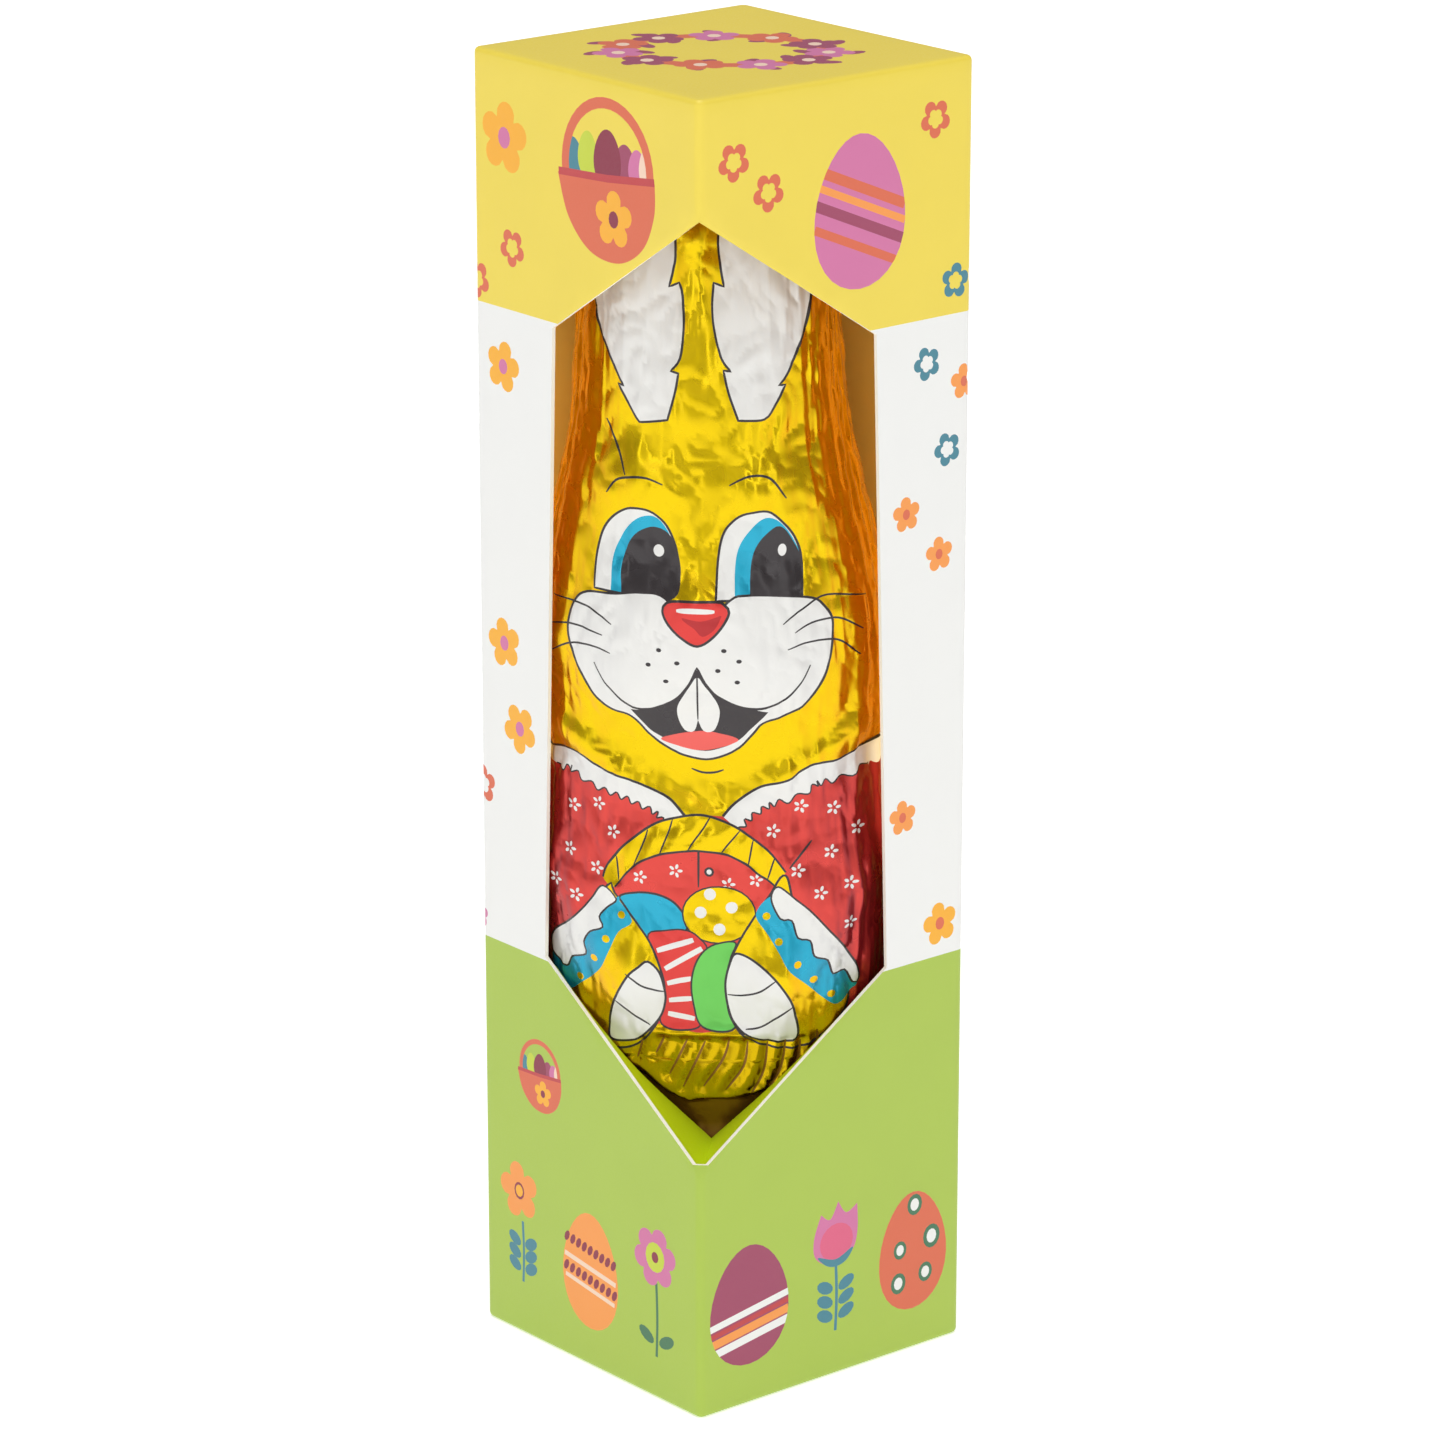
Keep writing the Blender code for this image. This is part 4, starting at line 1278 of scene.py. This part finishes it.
def coat(prints):
    """The coat goes round the back, from the collar down to its hem, with lace along the collar."""
    back = SKIN_HALF, COLLAR_BACK
    left = np.concatenate([[(-back[0], back[1])], onto_skin(spline(COLLAR_LEFT, False))])
    right = np.concatenate([onto_skin(spline(COLLAR_RIGHT, False)), [back]])
    prints.append(("red", np.concatenate([left, right, [(SKIN_HALF, HEM), (-SKIN_HALF, HEM)]])))
    lace_left = onto_skin(scalloped(spline(COLLAR_LEFT, False, LACE_STEP))[::-1])
    lace_right = onto_skin(scalloped(spline(COLLAR_RIGHT, False, LACE_STEP))[::-1])
    steps = 120
    reach = np.linspace(lace_right[0, 0], SKIN_HALF, steps)
    rise = np.linspace(lace_right[0, 1], COLLAR_BACK - LACE_DEPTH, steps)
    scallops = 0.7 * np.abs(np.sin(0.9 * reach)) * np.linspace(1, 0, steps) ** 0.2
    back_right = np.column_stack([reach, rise - scallops])
    back_left = back_right * (-1.0, 1.0)
    prints.append(("white", np.concatenate([left[::-1], back_left[::-1], lace_left[::-1]])))
    prints.append(("white", np.concatenate([right, back_right[::-1], lace_right])))
    for line, width in ((left, LINE), (right, LINE), (lace_left, LINE * 0.7), (lace_right, LINE * 0.7)):
        prints.append(("dark", stroke(line, width)))
    for center in COAT_FLOWERS:
        little_flower(prints, center)
    draw_line(prints, COAT_SEAM)
    stamp(prints, "dark", oval(BUTTON, 0.75, 0.75, sides=10))
    stamp(prints, "white", oval(BUTTON, 0.4, 0.4, sides=8))


def arms(prints):
    """Both arms, their cuffs and the basket with its eggs, from the back to the front."""
    draw(prints, "basket", BASKET)
    # The brown under the basket's strands is painted shade of the hollow beneath it.
    draw(prints, "brown", BASKET_FOOT)
    draw(prints, "blue", EGG_BLUE, LINE)
    egg = oval(SPOTTED_EGG, 5.4, 4.3, sides=28)
    stamp(prints, "gold", egg)
    stamp(prints, "dark", stroke(egg, LINE * 0.7, closed=True))
    for spot in EGG_SPOTS:
        stamp(prints, "white", oval(spot, 0.9, 0.9, sides=12))
    draw(prints, "nose", EGG_RED, LINE * 0.7)
    for ends in EGG_STRIPES:
        draw_line(prints, ends, 0.85, "white", 0.2)
    draw(prints, "green", EGG_GREEN, LINE * 0.8)
    draw(prints, "gold", HANDLE_OUTER + HANDLE_OUTER[-1:] + HANDLE_INNER[:1] + HANDLE_INNER)
    for edge in (HANDLE_OUTER, HANDLE_INNER):
        draw_line(prints, edge, taper=0.2)
    for ends in HANDLE_TWISTS:
        draw_line(prints, ends, LINE * 0.8)
    for arm, band, cuff in ((ARM_LEFT, BAND_LEFT, CUFF_LEFT), (ARM_RIGHT, BAND_RIGHT, CUFF_RIGHT)):
        draw(prints, "gold", arm, LINE)
        draw(prints, "blue", band)
        draw(prints, "white", cuff, LINE * 0.8)
    for spot in BAND_DOTS:
        stamp(prints, "gold", oval(spot, 0.6, 0.6, sides=8))
    for paw in (PAW_LEFT, PAW_RIGHT):
        draw(prints, "white", paw, LINE)
    for toe in TOES:
        draw_line(prints, toe, LINE * 0.9)
    for strand in WEAVE:
        draw_line(prints, strand, LINE * 1.1, "brown")


def face(prints):
    for ear in (EAR_LEFT, EAR_RIGHT):
        draw(prints, "white", ear, LINE)
    for outline, blue, pupil in ((EYE_LEFT, BLUE_LEFT, PUPIL_LEFT), (EYE_RIGHT, BLUE_RIGHT, PUPIL_RIGHT)):
        draw(prints, "white", outline)
        draw(prints, "blue", blue)
        draw(prints, "dark", pupil)
        stamp(prints, "dark", stroke(spline(outline), LINE, closed=True))
    for glint in GLINTS:
        stamp(prints, "white", oval(*glint, sides=14))
    draw(prints, "white", MUZZLE, LINE)
    draw(prints, "dark", MOUTH)
    draw(prints, "tongue", TONGUE)
    draw(prints, "white", TEETH)
    draw_line(prints, TOOTH_GAP, LINE * 0.8)
    draw_line(prints, SMILE, LINE * 1.1)
    draw(prints, "nose", NOSE, LINE * 1.1)
    draw(prints, "nose_shade", NOSE_SHADE)
    draw_line(prints, NOSE_GLINT, 0.8, "white")
    for brow in BROWS:
        draw_line(prints, brow)
    for whisker in WHISKERS:
        draw_line(prints, whisker, LINE * 0.85)
    for x, z in WHISKER_SPOTS:
        stamp(prints, "dark", oval((x, z), 0.42, 0.32, sides=8))


def make_bunny():
    prints = []
    coat(prints)
    arms(prints)
    face(prints)
    columns = grid_values(-SKIN_FRONT_HALF, SKIN_FRONT_HALF, SKIN_STEP)
    back = grid_values(SKIN_FRONT_HALF + SKIN_BACK_STEP, SKIN_HALF, SKIN_BACK_STEP)
    front_rows = grid_values(0.0, BUNNY_HEIGHT, SKIN_STEP)
    back_rows = grid_values(0.0, BUNNY_HEIGHT, SKIN_BACK_STEP, (HEM, COLLAR_BACK))
    loose = [(u, z) for u in columns for z in front_rows]
    loose += [(side * u, z) for u in back for z in back_rows for side in (-1, 1)]
    flat, triangles, top = cut_sheet(prints, loose)
    inks = ["gold" if number < 0 else prints[number][0] for number in top]
    angle = flat[:, 0] / SKIN_RADIUS
    points = skin(angle, flat[:, 1])
    normals = skin_normals(angle, flat[:, 1])
    triangles, inks = welded(points, triangles, inks)
    middle = len(points)
    points = np.concatenate([points, [(0.0, 0.0, BUNNY_BASE)]])
    normals = np.concatenate([normals, [(0.0, 0.0, -1.0)]])
    foot = [(b, a, middle) for a, b in open_edges(triangles)]
    faces = triangles.tolist() + foot
    return mesh_object("foil_bunny", points, faces, inks + ["gold"] * len(foot), FOIL_INKS, normals)


# Floor, lights and camera

def make_floor():
    """A sheet of white paper that glows a little, so that it stays white under the soft light."""
    material, tree, shader = new_material(
        "floor_paper", Roughness=0.9, Emission_Color=(1.0, 1.0, 1.0, 1.0), Emission_Strength=FLOOR_GLOW
    )
    tones = two_tones(tree, noise_node(tree, 6.0, 2.0), (0.93, 0.93, 0.93), (0.95, 0.95, 0.95))
    tree.links.new(tones, shader.inputs["Base Color"])
    corners = np.array([(-1, -1, 0), (1, -1, 0), (1, 1, 0), (-1, 1, 0)]) * FLOOR_REACH
    return mesh_object("studio_floor", corners, [(0, 1, 2, 3)], ["paper"], {"paper": material})


def add_lamp(name, kind, power, place, aim, **settings):
    """A lamp at a place, turned to an aim. The settings are the lamp's own."""
    lamp = bpy.data.lights.new(name, kind)
    lamp.energy = power
    for setting, value in settings.items():
        setattr(lamp, setting, value)
    item = bpy.data.objects.new(name, lamp)
    item.location = place
    item.rotation_euler = (Vector(aim) - Vector(place)).to_track_quat("-Z", "Y").to_euler()
    item.visible_camera = False
    bpy.context.scene.collection.objects.link(item)
    return item


def make_lights():
    """Even light from above and from the front, a tall strip at each side and a faint lamp in the carton."""
    middle = (0.0, 0.0, 0.0)
    add_lamp("top_panel", "SUN", TOP_POWER, (0.0, -0.12, 1.0), middle, angle=math.radians(60))
    add_lamp("front_panel", "SUN", FRONT_POWER, (0.05, -0.9, 0.5), middle, angle=math.radians(40))
    strip = dict(zip(("size", "size_y"), STRIP_SIZE), shape="RECTANGLE")
    glow = dict(zip(("size", "size_y"), GLOW_SIZE), shape="RECTANGLE", color=(1.0, 0.9, 0.55))
    for side in (-1, 1):
        place = (STRIP_MIDDLE + side * STRIP_SPREAD, STRIP_AHEAD, STRIP_HEIGHT)
        add_lamp(f"strip_{side}", "AREA", STRIP_POWER, place, STRIP_AIM, **strip)
        spots = [wall_point(along, GLOW_HEIGHT, side, depth) * MM for along, depth in (GLOW_PLACE, GLOW_AIM)]
        add_lamp(f"glow_{side}", "AREA", GLOW_POWER, *spots, **glow).visible_glossy = False


def make_world(strength):
    world = bpy.data.worlds.new("studio")
    world.use_nodes = True
    ground = world.node_tree.nodes["Background"]
    ground.inputs["Color"].default_value = (1.0, 1.0, 1.0, 1.0)
    ground.inputs["Strength"].default_value = strength
    bpy.context.scene.world = world


def make_camera():
    lens = bpy.data.cameras.new("camera")
    lens.lens = LENS
    lens.sensor_width = SENSOR
    lens.clip_start = 0.01
    camera = bpy.data.objects.new("camera", lens)
    camera.location = EYE * MM
    camera.rotation_euler = (math.pi / 2 - PITCH, 0.0, HEADING)
    bpy.context.scene.collection.objects.link(camera)
    bpy.context.scene.camera = camera


make_camera()
make_world(WORLD_LIGHT)
make_lights()
bpy.context.scene.view_settings.view_transform = "Standard"

floor = make_floor()

carton = make_carton()
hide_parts("carton")
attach(carton, "root")

bunny = make_bunny()
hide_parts("bunny")
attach(bunny, "root")
